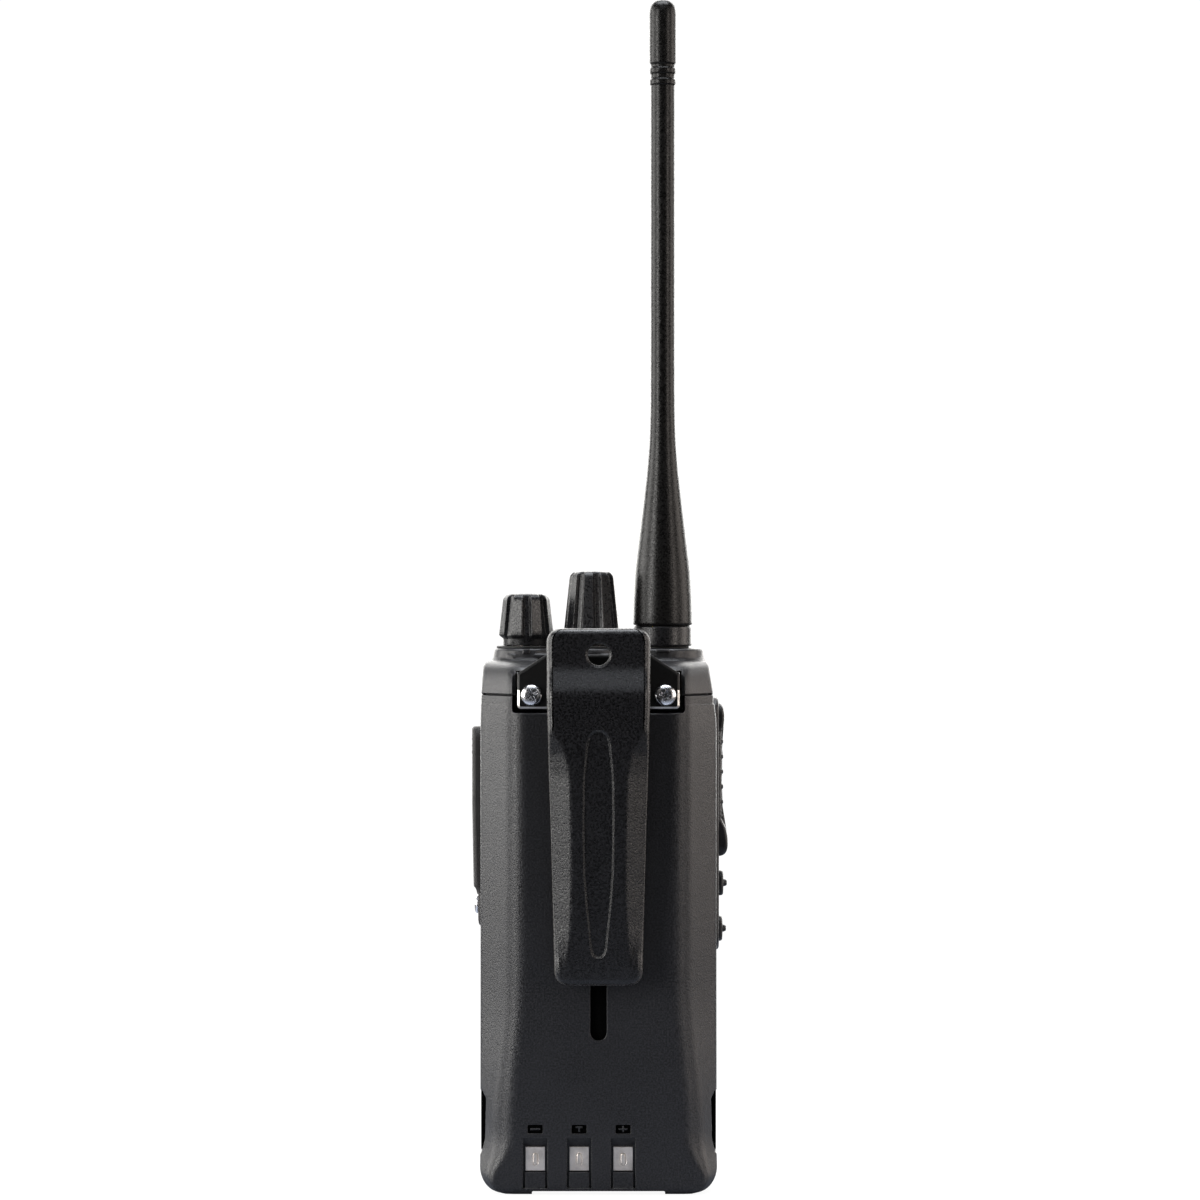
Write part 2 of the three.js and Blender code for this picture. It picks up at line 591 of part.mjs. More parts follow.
function screwMesh(name, finish, position, turn, ...sizes) {
  const made = mesh(name, panScrew(...sizes), finish, position);
  made.rotation.set(...turn);
  return made;
}

// ---------------------------------------------------------------- battery latch
const LATCH_TIP = 1.9; // the end of the catch, under the battery's ledge

function batteryLatch() {
  return join(
    prism(roundedRectangle(-8.5, 8.5, -10.5, -1, 1), "Z", 2.4, 4, 3),
    box(-4, 4, -2, LATCH_TIP, 2.4, 4),
    prism(roundedRectangle(-5.6, 5.6, -7.6, -3.4, 0.8), "Z", 0.3, 2.5, 3),
  );
}

// ---------------------------------------------------------------- belt clip
function clipBracket() {
  const plate = prism(plateOutline(0), "Y", PLATE.front, PLATE.rear);
  const ear = new THREE.Shape();
  ear.moveTo(PLATE.front + 0.2, PIN_Z - 4.2);
  ear.lineTo(PIN_Y, PIN_Z - EAR_RADIUS);
  ear.absarc(PIN_Y, PIN_Z, EAR_RADIUS, -Math.PI / 2, Math.PI / 2);
  ear.lineTo(PLATE.front + 0.2, PIN_Z + 4.2);
  const ears = [[-8.4, -7.2], [7.2, 8.4]].map(([from, to]) => prism(ear, "X", from, to));
  const pinHole = rod("X", PIN_Y, PIN_Z, -12, 12, PIN_RADIUS + 0.1);
  const screwHoles = [-1, 1].map((side) => rod("Y", side * SCREW.x, SCREW.z, 10, 20, 1.7, 1.7, 16));
  return cut(join(plate, ...ears), pinHole, ...screwHoles);
}

// The paddle at each height: half width, half width of its ridge, how far its facets drop at the
// sides, and its outer and inner Y.
const PADDLE_LEVELS = [
  { z: 48.1, half: 9.6, ridge: 7.6, facet: 0.1, outer: 20.9, inner: 17.9 },
  { z: 49.1, half: 9.9, ridge: 7.6, facet: 0.15, outer: 21.8, inner: 17.0 },
  { z: 52.4, half: 10, ridge: 7.4, facet: 0.3, outer: 22.1, inner: 17.0 },
  { z: 55, half: 10.05, ridge: 6.8, facet: 0.7, outer: 22.25, inner: 19.9 },
  { z: 62, half: 10.2, ridge: 5.8, facet: 1.3, outer: 22.7, inner: 20.3 },
  { z: 84, half: 10.75, ridge: 5.6, facet: 1.6, outer: 24, inner: 21.3 },
  { z: 98, half: 11.2, ridge: 5.8, facet: 1.4, outer: 24.7, inner: 21.9 },
  { z: 105, half: 11.45, ridge: 8.2, facet: 0.6, outer: 25, inner: 22.2 },
  { z: 113.6, half: 11.7, ridge: 10.4, facet: 0.1, outer: 25.1, inner: 22.4 },
  { z: 115.2, half: 11.7, ridge: 10.4, facet: 0.1, outer: 24.8, inner: 22.3 },
  { z: 119, half: 11.7, ridge: 10.4, facet: 0.1, outer: 23.2, inner: 20.9 },
  { z: 122.5, half: 11.7, ridge: 10.4, facet: 0.1, outer: 22.3, inner: 19.6 },
  { z: 127.6, half: 11.7, ridge: 10.4, facet: 0.1, outer: 22, inner: 19.2 },
  { z: 129, half: 11.7, ridge: 10.4, facet: 0.1, outer: 21, inner: 19.4 },
];

function paddleRing({ z, half, ridge, facet, outer, inner }) {
  const edge = outer - facet;
  const rim = half - 0.7;
  return {
    z,
    points: [
      [-half, inner + 0.4], [-half + 0.4, inner], [half - 0.4, inner], [half, inner + 0.4],
      [half, edge - 0.7], [rim, edge], [ridge, outer], [-ridge, outer], [-rim, edge], [-half, edge - 0.7],
    ],
  };
}

function clipPaddle() {
  const blade = loft(PADDLE_LEVELS.map(paddleRing));
  const face = prism(roundedRectangle(-11.7, 11.7, 48.1, 129, 3), "Y", 10, 30);
  const lug = new THREE.Shape();
  lug.moveTo(22.6, 111);
  lug.lineTo(23, 122.5);
  lug.lineTo(20, 122.5);
  lug.lineTo(17.2, 120.4);
  lug.lineTo(17.2, 114.8);
  lug.lineTo(20, 111.6);
  const lugs = [[-11.7, -9], [9, 11.7]].map(([from, to]) => prism(lug, "X", from, to));
  const strapHole = rod("Y", 0, 123.1, 10, 30, 2.5);
  const pinHole = rod("X", PIN_Y, PIN_Z, -13, 13, PIN_RADIUS + 0.05);
  const earRoom = rod("X", PIN_Y, PIN_Z, -8.9, 8.9, EAR_RADIUS + 0.45);
  const springRoom = box(-4.8, 4.8, 10, 20.9, PIN_Z - 1, 124.3);
  const spindle = new THREE.Shape();
  spindle.moveTo(-1.9, 55.8);
  spindle.quadraticCurveTo(0, 54.6, 1.9, 55.8);
  spindle.bezierCurveTo(3.5, 72, 3.9, 88, 2.6, 103.6);
  spindle.quadraticCurveTo(0, 107.6, -2.6, 103.6);
  spindle.bezierCurveTo(-3.9, 88, -3.5, 72, -1.9, 55.8);
  const sunk = PADDLE_LEVELS.map((level) => paddleRing({ ...level, outer: level.outer - 0.4, inner: 10 }));
  const recess = cut(prism(spindle, "Y", 19, 30, 6), loft(sunk));
  return cut(join(common(blade, face), ...lugs), strapHole, pinHole, earRoom, springRoom, recess);
}

// ---------------------------------------------------------------- battery pack
const BATTERY_FRONT = SEAM_Y + GAP;
const BATTERY_TOP = SEAM_Z - GAP / 2;

function batteryShell() {
  const outer = common(envelope(0), box(-40, 40, BATTERY_FRONT, 40, -1, BATTERY_TOP));
  const room = join(
    common(envelope(WALL), box(-40, 40, 0, 40, 2.2, 107.6)),
    box(-24.7, 24.7, 0, 5.4, 2.2, 107.6),
  );
  const clipNotch = box(-19.4, 19.4, -1, 30, PLATE.bottom - 0.8, 130);
  const slot = prism(roundedRectangle(-1.8, 1.8, 35.2, 62, 1.75), "Y", REAR_Y - 1.3, 20, 6);
  const windows = CHARGE_CONTACTS.map(({ x }) => {
    const side = polygon([[CHARGE.floor, 0.9], [20, 0.9], [20, 13.2], [REAR_Y, 13.2], [CHARGE.floor, 10.9]]);
    return prism(side, "X", x - 2.8, x + 2.8);
  });
  const marks = CHARGE_CONTACTS.map(({ x }) => box(x - 1.7, x + 1.7, REAR_Y - 0.4, 20, 14, 16));
  const sideSlits = [-1, 1].map((side) => {
    const [from, to] = side < 0 ? [-30, -26] : [26, 30];
    return prism(polygon([[-1, 8.6], [9, 8.6], [9, 21.9], [8, 22.9], [-1, 22.9]]), "X", from, to);
  });
  const baseRelief = box(-15.2, 15.2, 8, 20, -1, 0.9);
  return cut(outer, room, clipNotch, slot, ...windows, ...marks, ...sideSlits, baseRelief);
}

function batteryCover() {
  const plate = prism(roundedRectangle(-24.4, 24.4, 2.5, 107.3, 4), "Y", 4, 5.2);
  const tabs = [-1, 1].flatMap((side) =>
    TAB_HEIGHTS.flatMap((z) => {
      const post = [side * 22, side * 23].sort((a, b) => a - b);
      const foot = [side * 20.3, side * 23].sort((a, b) => a - b);
      return [box(...post, 1.35, 4.1, z, z + 8), box(...foot, 1.35, 2.05, z, z + 8)];
    }),
  );
  const catchLedge = box(-4.4, 4.4, LATCH_TIP + GAP, 4.1, 4.3, 5.6);
  const terminalWindow = box(-8, 8, 0, 10, 29, 35);
  return cut(join(plate, ...tabs, catchLedge), terminalWindow);
}

const chargeContact = () => join(
  box(-CHARGE.half, CHARGE.half, CHARGE.floor + 0.02, CHARGE.floor + 0.4, -CHARGE.halfZ, CHARGE.halfZ),
  prism(roundedRectangle(-0.5, 0.5, -1.2, 1.2, 0.45), "Y", CHARGE.floor + 0.3, CHARGE.floor + 0.6, 4),
);

// ---------------------------------------------------------------- assembly
const radio = new THREE.Group();
const put = (...args) => radio.add(mesh(...args));

put("front_case", frontCase(), "case");
put("chassis", chassis(), "alloy");
put("chassis_gasket", chassisGasket(), "rubber");
put("main_board", box(-22.5, 22.5, -3.1, -1.9, 8, 107), "board");
put("shield_can", box(-17, 17, -6.4, -3.15, 12, 60), "alloy");
put("loudspeaker", speaker(), "dark");
put("speaker_cloth", rod("Y", 0, SPEAKER.z, -15.9, -15.5, 18.2), "cloth");
put("microphone", rod("Y", 0, MICROPHONE_Z, -15, -12.8, 3, 3, 20), "nickel");
put("microphone_boot", microphoneBoot(), "rubber");
put("status_lens", statusLens(), "lens", [LENS.x, LENS.y, 0]);

for (const { name, x, top, radius, topRadius, phase } of [
  { name: "volume", x: VOLUME_X, top: 136.6, radius: 6.45, topRadius: 5.55, phase: 1.22 },
  { name: "channel", x: CHANNEL_X, top: 141.8, radius: 6.65, topRadius: 5.25, phase: 1.41 },
]) {
  const place = [x, KNOB_Y, 0];
  put(`${name}_control`, rotaryBody(), "nickel", place);
  put(`${name}_nut`, rotaryNut(), "steel", place);
  put(`${name}_seal_ring`, sealRing(6.9, 3.6), "rubber", place);
  put(`${name}_shaft`, rotaryShaft(top), "alloy", place);
  put(`${name}_knob`, knob(radius, topRadius, top, phase), "case", place);
}

const antennaPlace = [ANTENNA_X, ANTENNA_Y, 0];
put("antenna_socket", antennaSocket(), "gold", antennaPlace);
put("antenna_seal_ring", sealRing(6.1, 4.7), "rubber", antennaPlace);
put("antenna_plug", antennaPlug(), "gold", antennaPlace);
put("antenna_ring", antennaRing(), "case", antennaPlace);
put("antenna_whip", antennaWhip(), "case", antennaPlace);

put("ptt_button", pttButton(), "rubber");
put("ptt_switch", tactSwitch(), "dark", [0, KEY_Y, (PTT.bottom + PTT.top) / 2]);
for (const key of SIDE_KEYS) {
  put(`side_key_${key.name}`, sideKey(key), "rubber", [0, KEY_Y, key.z]);
  put(`side_switch_${key.name}`, tactSwitch(), "dark", [0, KEY_Y, key.z]);
}
put("side_board", box(-19.7, -18.8, KEY_Y - 4, KEY_Y + 3.4, 53, 107), "board");

put("jack_cover", jackCover(), "rubber");
put("jack_block", jackBlock(), "dark");
const coverScrewPlace = [HALF_WIDTH + 0.85, JACK.y, JACK.screw];
radio.add(screwMesh("jack_cover_screw", "steel", coverScrewPlace, [0, Math.PI / 2, 0], 2.1, 0.9, 1.1, 4));

put("battery_latch", batteryLatch(), "case");
for (const [name, side] of [["left", -1], ["right", 1]]) {
  put(`latch_spring_${name}`, coil("Y", [side * 6, -13.2, 3.3], 0.75, 0.3, 4.6, 0, 6), "steel");
}

put("clip_bracket", clipBracket(), "blackSteel");
put("clip_pin", rod("X", PIN_Y, PIN_Z, -11.5, 11.5, PIN_RADIUS, PIN_RADIUS, 24), "steel");
const springLegs = [[-3.6, 16.2, 121.6], [3.6, 18.7, 123.4]]; // on the plate, and under the thumb end
put("clip_spring", coil("X", [0, PIN_Y, PIN_Z], 1.85, 0.7, 6.6, 0.5, 6.125, springLegs), "steel");
put("clip_paddle", clipPaddle(), "case");
for (const [name, side] of [["left", -1], ["right", 1]]) {
  const place = [side * SCREW.x, PLATE.rear + 0.02, SCREW.z];
  radio.add(screwMesh(`clip_screw_${name}`, "steel", place, [-Math.PI / 2, 0, 0], 2.5, 1.6, 1.25, 7));
}

put("battery_shell", batteryShell(), "case");
put("battery_cover", batteryCover(), "case");
for (const [name, z] of [["lower", 17], ["upper", 62]]) {
  put(`cell_${name}`, prism(roundedRectangle(-20.2, 20.2, 5.5, 12.7, 3), "Z", z, z + 43, 3), "cell");
}
put("protection_board", box(-20, 20, 6.4, 7.4, 4, 15.5), "board");
for (const { name, x } of CHARGE_CONTACTS) {
  put(`charge_contact_${name}`, chargeContact(), "nickel", [x, 0, CHARGE.z]);
}
for (const [name, x] of [["minus", -5], ["sense", 0], ["plus", 5]]) {
  put(`pack_terminal_${name}`, box(-1.4, 1.4, 4.2, 5, 29.4, 34.6), "gold", [x, 0, 0]);
  const blade = join(box(-1, 1, -1.8, 3.5, 31, 33), box(-1, 1, 3.2, 3.9, 30, 34));
  put(`radio_terminal_${name}`, blade, "gold", [x, 0, 0]);
}

export default radio;
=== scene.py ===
"""The looks of a handheld two-way radio, built around its CAD frame and seen from the belt clip side."""

import json
import math

import bmesh
import bpy
import numpy as np
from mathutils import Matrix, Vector


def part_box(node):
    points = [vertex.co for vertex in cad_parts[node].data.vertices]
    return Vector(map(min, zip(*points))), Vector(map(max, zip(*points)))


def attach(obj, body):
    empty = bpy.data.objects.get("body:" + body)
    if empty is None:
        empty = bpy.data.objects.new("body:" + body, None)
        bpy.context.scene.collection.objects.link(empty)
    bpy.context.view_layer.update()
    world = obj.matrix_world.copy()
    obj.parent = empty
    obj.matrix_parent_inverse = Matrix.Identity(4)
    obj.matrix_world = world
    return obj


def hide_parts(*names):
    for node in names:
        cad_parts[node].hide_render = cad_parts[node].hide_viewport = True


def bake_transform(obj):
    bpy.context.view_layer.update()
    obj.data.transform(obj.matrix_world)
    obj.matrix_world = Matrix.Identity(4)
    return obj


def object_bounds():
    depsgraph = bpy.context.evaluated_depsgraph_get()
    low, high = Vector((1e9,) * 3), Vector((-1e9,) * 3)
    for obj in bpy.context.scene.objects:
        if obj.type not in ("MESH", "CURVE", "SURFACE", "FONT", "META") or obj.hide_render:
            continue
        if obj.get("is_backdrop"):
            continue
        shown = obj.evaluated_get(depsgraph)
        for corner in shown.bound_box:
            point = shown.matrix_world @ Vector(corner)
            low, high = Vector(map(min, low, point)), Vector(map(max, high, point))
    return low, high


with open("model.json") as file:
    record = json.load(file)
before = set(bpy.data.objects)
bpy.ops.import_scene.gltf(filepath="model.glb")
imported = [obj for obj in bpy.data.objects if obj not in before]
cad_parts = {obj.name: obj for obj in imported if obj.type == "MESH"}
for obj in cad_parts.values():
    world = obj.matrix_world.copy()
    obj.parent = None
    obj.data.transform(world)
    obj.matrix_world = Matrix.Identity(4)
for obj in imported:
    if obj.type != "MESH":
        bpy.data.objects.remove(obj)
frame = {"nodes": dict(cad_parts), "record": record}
cad_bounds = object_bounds()

# ------------------------------------------------------------------ sizes, in millimetres
MM = 0.001


def corners_of(node):
    """Lowest and highest corner of a CAD node, in millimetres."""
    return [np.array(corner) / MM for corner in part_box(node)]


CASE_LOW, CASE_HIGH = corners_of("front_case")
PACK_LOW, PACK_HIGH = corners_of("battery_shell")
PLATE_LOW, PLATE_HIGH = corners_of("clip_bracket")
PADDLE_LOW, PADDLE_HIGH = corners_of("clip_paddle")

HALF_WIDTH = PACK_HIGH[0]  # the case, centre to side
FRONT, REAR = CASE_LOW[1], PACK_HIGH[1]
DECK_TOP = CASE_HIGH[2]
BODY_TOP = DECK_TOP - 2.7
PACK_FRONT, PACK_TOP = PACK_LOW[1], PACK_HIGH[2]
CASE_REAR, CASE_LEDGE = PACK_FRONT - 0.3, PACK_TOP + 0.3
WALL = 2.0
BASE_RADIUS = 6.1
EDGE = 0.3  # moulded edges at the seams
LIP_INSET, LIP_GAP = 1.2, 0.04  # a lip behind each seam stops light passing through it
PLATE_FRONT, PLATE_REAR = PLATE_LOW[1], PLATE_LOW[1] + 1.2


def centre_of(node):
    """Middle of a CAD node's box, in millimetres."""
    low, high = corners_of(node)
    return (low + high) / 2


# ------------------------------------------------------------------ outlines and skins
def smooth(t):
    """A soft step from 0 to 1."""
    t = np.clip(t, 0, 1)
    return t * t * (3 - 2 * t)


def unit(v):
    return v / np.linalg.norm(v)


def quarter_round(depth, radius):
    """How far a quarter-round edge draws in, at a depth below the face that it meets."""
    depth = np.clip(depth, 0, radius)
    return radius - np.sqrt(radius**2 - (radius - depth) ** 2)


def rounded(corners, steps=6, fill=None):
    """A closed outline through (u, v, radius) corners. fill adds points along the edge after a corner."""
    points = []
    count = len(corners)
    for i, (u, v, radius) in enumerate(corners):
        here = np.array([u, v], float)
        back = unit(np.array(corners[i - 1][:2], float) - here)
        ahead = unit(np.array(corners[(i + 1) % count][:2], float) - here)
        half_angle = math.acos(np.clip(back @ ahead, -1, 1)) / 2
        centre = here + unit(back + ahead) * radius / math.sin(half_angle)
        reach = radius / math.tan(half_angle)
        start, end = here + back * reach - centre, here + ahead * reach - centre
        turn = math.pi - 2 * half_angle
        for t in np.linspace(0, 1, steps + 1):
            weights = np.sin(turn * (1 - t)), np.sin(turn * t)
            points.append(centre + (weights[0] * start + weights[1] * end) / math.sin(turn))
        if fill and i in fill:
            points += [None] * fill[i]
    known = [i for i, p in enumerate(points) if p is not None]
    full = np.array([points[i] for i in known])
    return np.stack([np.interp(np.arange(len(points)), known, full[:, k]) for k in (0, 1)], axis=1)


def rectangle(u0, u1, v0, v1, radius, steps=6):
    return rounded([(u0, v0, radius), (u1, v0, radius), (u1, v1, radius), (u0, v1, radius)], steps)


def circle(u, v, radius, segments=64):
    angles = np.linspace(0, 2 * math.pi, segments, endpoint=False)
    return np.stack([u + radius * np.cos(angles), v + radius * np.sin(angles)], axis=1)


def area_of(outline):
    ahead = np.roll(outline, -1, axis=0)
    return 0.5 * np.sum(outline[:, 0] * ahead[:, 1] - ahead[:, 0] * outline[:, 1])


def grown(outline, amount):
    """A closed outline moved outwards, or inwards where the amount is negative."""
    if area_of(outline) < 0:
        outline = outline[::-1]
    back = outline - np.roll(outline, 1, axis=0)
    ahead = np.roll(back, -1, axis=0)
    normals = [np.stack([edge[:, 1], -edge[:, 0]], axis=1) for edge in (back, ahead)]
    normals = [n / np.maximum(np.linalg.norm(n, axis=1, keepdims=True), 1e-9) for n in normals]
    middle = normals[0] + normals[1]
    middle /= np.maximum(np.linalg.norm(middle, axis=1, keepdims=True), 1e-9)
    lean = np.maximum(np.sum(middle * normals[1], axis=1, keepdims=True), 0.4)
    return outline + middle * amount / lean


AXES = {"X": (1, 2, 0), "Y": (0, 2, 1), "Z": (0, 1, 2)}


def placed(outline, axis, along):
    """An outline in (Y, Z), (X, Z) or (X, Y) as a ring of points at a place along the X, Y or Z axis."""
    ring = np.empty((len(outline), 3))
    u, v, w = AXES[axis]
    ring[:, u], ring[:, v], ring[:, w] = outline[:, 0], outline[:, 1], along
    return ring


def added(name, data):
    """A new object in the scene."""
    made = bpy.data.objects.new(name, data)
    bpy.context.scene.collection.objects.link(made)
    return made


def solid(rings, name="tool"):
    """A closed mesh through rings of equally many points, in millimetres."""
    count, size = len(rings), len(rings[0])
    faces = [
        (a * size + i, a * size + (i + 1) % size, (a + 1) * size + (i + 1) % size, (a + 1) * size + i)
        for a in range(count - 1)
        for i in range(size)
    ]
    faces += [tuple(range(size))[::-1], tuple(range((count - 1) * size, count * size))]
    mesh = bpy.data.meshes.new(name)
    mesh.from_pydata((np.concatenate(rings) * MM).tolist(), [], faces)
    work = bmesh.new()
    work.from_mesh(mesh)
    bmesh.ops.recalc_face_normals(work, faces=work.faces)
    work.to_mesh(mesh)
    work.free()
    return added(name, mesh)


def bar(outline, axis, start, end, edges=(0, 0), steps=4):
    """An outline extruded between two places. Each end has an edge radius: a positive one is rounded,
    and a negative one flares, which rounds the lip of a cut."""
    if area_of(outline) < 0:
        outline = outline[::-1]

    def end_rings(place, edge, inward):
        if edge == 0:
            return [placed(outline, axis, place)]
        rings = [placed(grown(outline, -edge), axis, place - inward)] if edge < 0 else []
        for angle in np.linspace(0, math.pi / 2, steps + 1):
            depth = abs(edge) * (1 - math.cos(angle))
            inset = edge * (1 - math.sin(angle))
            rings.append(placed(grown(outline, -inset), axis, place + inward * depth))
        return rings

    return solid(end_rings(start, edges[0], 1) + end_rings(end, edges[1], -1)[::-1])


def spun(profile, axis, centre, segments=96):
    """A turned solid about an axis, from (radius, along) pairs. A radius of 0 becomes a hair's breadth."""
    rings = [placed(circle(*centre, max(radius, 0.01), segments), axis, along) for radius, along in profile]
    return solid(rings)


def bore(axis, centre, radius, start, end, segments=32):
    """A plain cylinder, to cut a round hole with."""
    return spun([(radius, start), (radius, end)], axis, centre, segments)


def curve(start, control, end, steps=8):
    """Points along a quadratic curve, without its first."""
    start, control, end = (np.array(p, float) for p in (start, control, end))
    shares = np.linspace(0, 1, steps + 1)[1:]
    return [tuple((1 - t) ** 2 * start + 2 * t * (1 - t) * control + t**2 * end) for t in shares]


def densified(outline, spacing):
    """The outline with points no further apart than the spacing."""
    points = []
    for here, ahead in zip(outline, np.roll(outline, -1, axis=0)):
        count = max(1, round(np.linalg.norm(ahead - here) / spacing))
        points += [here + (ahead - here) * i / count for i in range(count)]
    return np.array(points)


def softened(profile, radius, steps=5):
    """An open (radius, along) profile with each inner corner rounded, as far as its neighbours leave room."""
    points = [np.array(p, float) for p in profile]
    made = [points[0]]
    for before, here, after in zip(points, points[1:], points[2:]):
        reach = min(radius, 0.45 * np.linalg.norm(before - here), 0.45 * np.linalg.norm(after - here))
        start, end = here + unit(before - here) * reach, here + unit(after - here) * reach
        made += [start, *curve(start, here, end, steps)]
    return [tuple(p) for p in made + [points[-1]]]


def drum(axis, centre, radius, start, end, soft, segments=96):
    """A cylinder with softened edges."""
    return spun(softened([(0, start), (radius, start), (radius, end), (0, end)], soft), axis, centre, segments)


# ------------------------------------------------------------------ joining, cutting and finishing
def settled(thing):
    """Applies the modifiers of a thing to its mesh."""
    graph = bpy.context.evaluated_depsgraph_get()
    mesh = bpy.data.meshes.new_from_object(thing.evaluated_get(graph))
    thing.modifiers.clear()
    thing.data = mesh
    return thing


def combined(operation, thing, tools):
    for tool in tools:
        step = thing.modifiers.new("step", "BOOLEAN")
        step.operation = operation
        step.solver = "MANIFOLD"
        step.object = tool
    settled(thing)
    for tool in tools:
        bpy.data.objects.remove(tool)
    return thing


def joined(thing, *tools):
    return combined("UNION", thing, tools)


def cut(thing, *tools):
    return combined("DIFFERENCE", thing, tools)


def shared(thing, *tools):
    return combined("INTERSECT", thing, tools)


def shaded(thing, angle=28):
    """Smooth shading with crisp creases, led by the larger faces."""
    work = bmesh.new()
    work.from_mesh(thing.data)
    bmesh.ops.remove_doubles(work, verts=work.verts, dist=2e-6)
    bmesh.ops.dissolve_degenerate(work, edges=work.edges, dist=1e-6)
    work.to_mesh(thing.data)
    work.free()
    thing.data.shade_smooth()
    thing.data.set_sharp_from_angle(angle=math.radians(angle))
    even = thing.modifiers.new("even", "WEIGHTED_NORMAL")
    even.keep_sharp = True
    even.weight = 80
    return thing


def painted(thing, first, second, takes_second):
    """Gives each face one of two materials, by a rule on its centre in millimetres and its normal."""
    thing.data.materials.clear()
    for material in (first, second):
        thing.data.materials.append(material)
    for face in thing.data.polygons:
        face.material_index = int(takes_second(face.center / MM, face.normal))
    return thing


def piece(thing, name, body, slot, node, angle=28, material=None):
    """Names a finished thing, gives it its slot's material, hangs it on its CAD body and hides the CAD node
    that it stands for.
    """
    thing.name = thing.data.name = name
    if not any(thing.data.materials):
        thing.data.materials.clear()
        thing.data.materials.append(material or FINISHES[slot])
    shaded(thing, angle)
    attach(thing, body)
    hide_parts(node)


# ------------------------------------------------------------------ materials
class Nodes:
    """A short way to write a material's node tree."""

    def __init__(self, name):
        self.material = bpy.data.materials.new(name)
        self.material.use_nodes = True
        self.tree = self.material.node_tree
        self.shader = self.tree.nodes["Principled BSDF"]
        self.place = self.add("ShaderNodeTexCoord").outputs["Object"]

    def add(self, kind, **settings):
        node = self.tree.nodes.new(kind)
        for key, value in settings.items():
            setattr(node, key, value)
        return node

    def link(self, source, target):
        self.tree.links.new(source, target)

    def noise(self, scale, detail=3, roughness=0.55, stretch=None):
        """Noise with a number of features to the metre."""
        node = self.add("ShaderNodeTexNoise")
        node.inputs["Scale"].default_value = scale
        node.inputs["Detail"].default_value = detail
        node.inputs["Roughness"].default_value = roughness
        place = self.place
        if stretch:
            mapping = self.add("ShaderNodeMapping")
            mapping.inputs["Scale"].default_value = stretch
            self.link(place, mapping.inputs["Vector"])
            place = mapping.outputs["Vector"]
        self.link(place, node.inputs["Vector"])
        return node.outputs["Fac"]

    def ramp(self, value, low, high, start=0.35, end=0.65):
        """A number from low to high, or a colour where low and high are colours."""
        if isinstance(low, tuple):
            node = self.add("ShaderNodeValToRGB")
            for element, place, colour in zip(node.color_ramp.elements, (start, end), (low, high)):
                element.position = place
                element.color = (*colour, 1)
            self.link(value, node.inputs["Fac"])
            return node.outputs["Color"]
        node = self.add("ShaderNodeMapRange")
        for key, number in (("From Min", start), ("From Max", end), ("To Min", low), ("To Max", high)):
            node.inputs[key].default_value = number
        self.link(value, node.inputs["Value"])
        return node.outputs["Result"]

    def math(self, operation, first, second=0.0):
        node = self.add("ShaderNodeMath", operation=operation)
        for socket, value in zip(node.inputs, (first, second)):
            if isinstance(value, (int, float)):
                socket.default_value = value
            else:
                self.link(value, socket)
        return node.outputs["Value"]

    def blended(self, share, first, second):
        """Two colours mixed by a share."""
        node = self.add("ShaderNodeMix", data_type="RGBA")
        sockets = {socket.identifier: socket for socket in node.inputs}
        self.link(share, sockets["Factor_Float"])
        for socket, value in ((sockets["A_Color"], first), (sockets["B_Color"], second)):
            if isinstance(value, tuple):
                socket.default_value = (*value, 1)
            else:
                self.link(value, socket)
        return next(socket for socket in node.outputs if socket.identifier == "Result_Color")

    def edges(self, radius):
        """Softened normals at the edges, and a mask of where they are."""
        bevel = self.add("ShaderNodeBevel", samples=6)
        bevel.inputs["Radius"].default_value = radius
        geometry = self.add("ShaderNodeNewGeometry")
        dot = self.add("ShaderNodeVectorMath", operation="DOT_PRODUCT")
        self.link(bevel.outputs["Normal"], dot.inputs[0])
        self.link(geometry.outputs["Normal"], dot.inputs[1])
        return bevel.outputs["Normal"], self.ramp(dot.outputs["Value"], 1.0, 0.0, 0.86, 0.99)

    def bump(self, height, distance, normal=None):
        node = self.add("ShaderNodeBump")
        node.inputs["Strength"].default_value = 1.0
        node.inputs["Distance"].default_value = distance
        self.link(height, node.inputs["Height"])
        if normal is not None:
            self.link(normal, node.inputs["Normal"])
        return node.outputs["Normal"]

    def finish(self, colour, roughness, normal=None, **fixed):
        self.link(colour, self.shader.inputs["Base Color"])
        self.link(roughness, self.shader.inputs["Roughness"])
        if normal is not None:
            self.link(normal, self.shader.inputs["Normal"])
        for key, value in fixed.items():
            self.shader.inputs[key.replace("_", " ")].default_value = value
        return self.material


def scaled(tone, factor):
    return tuple(min(1, factor * c) for c in tone)


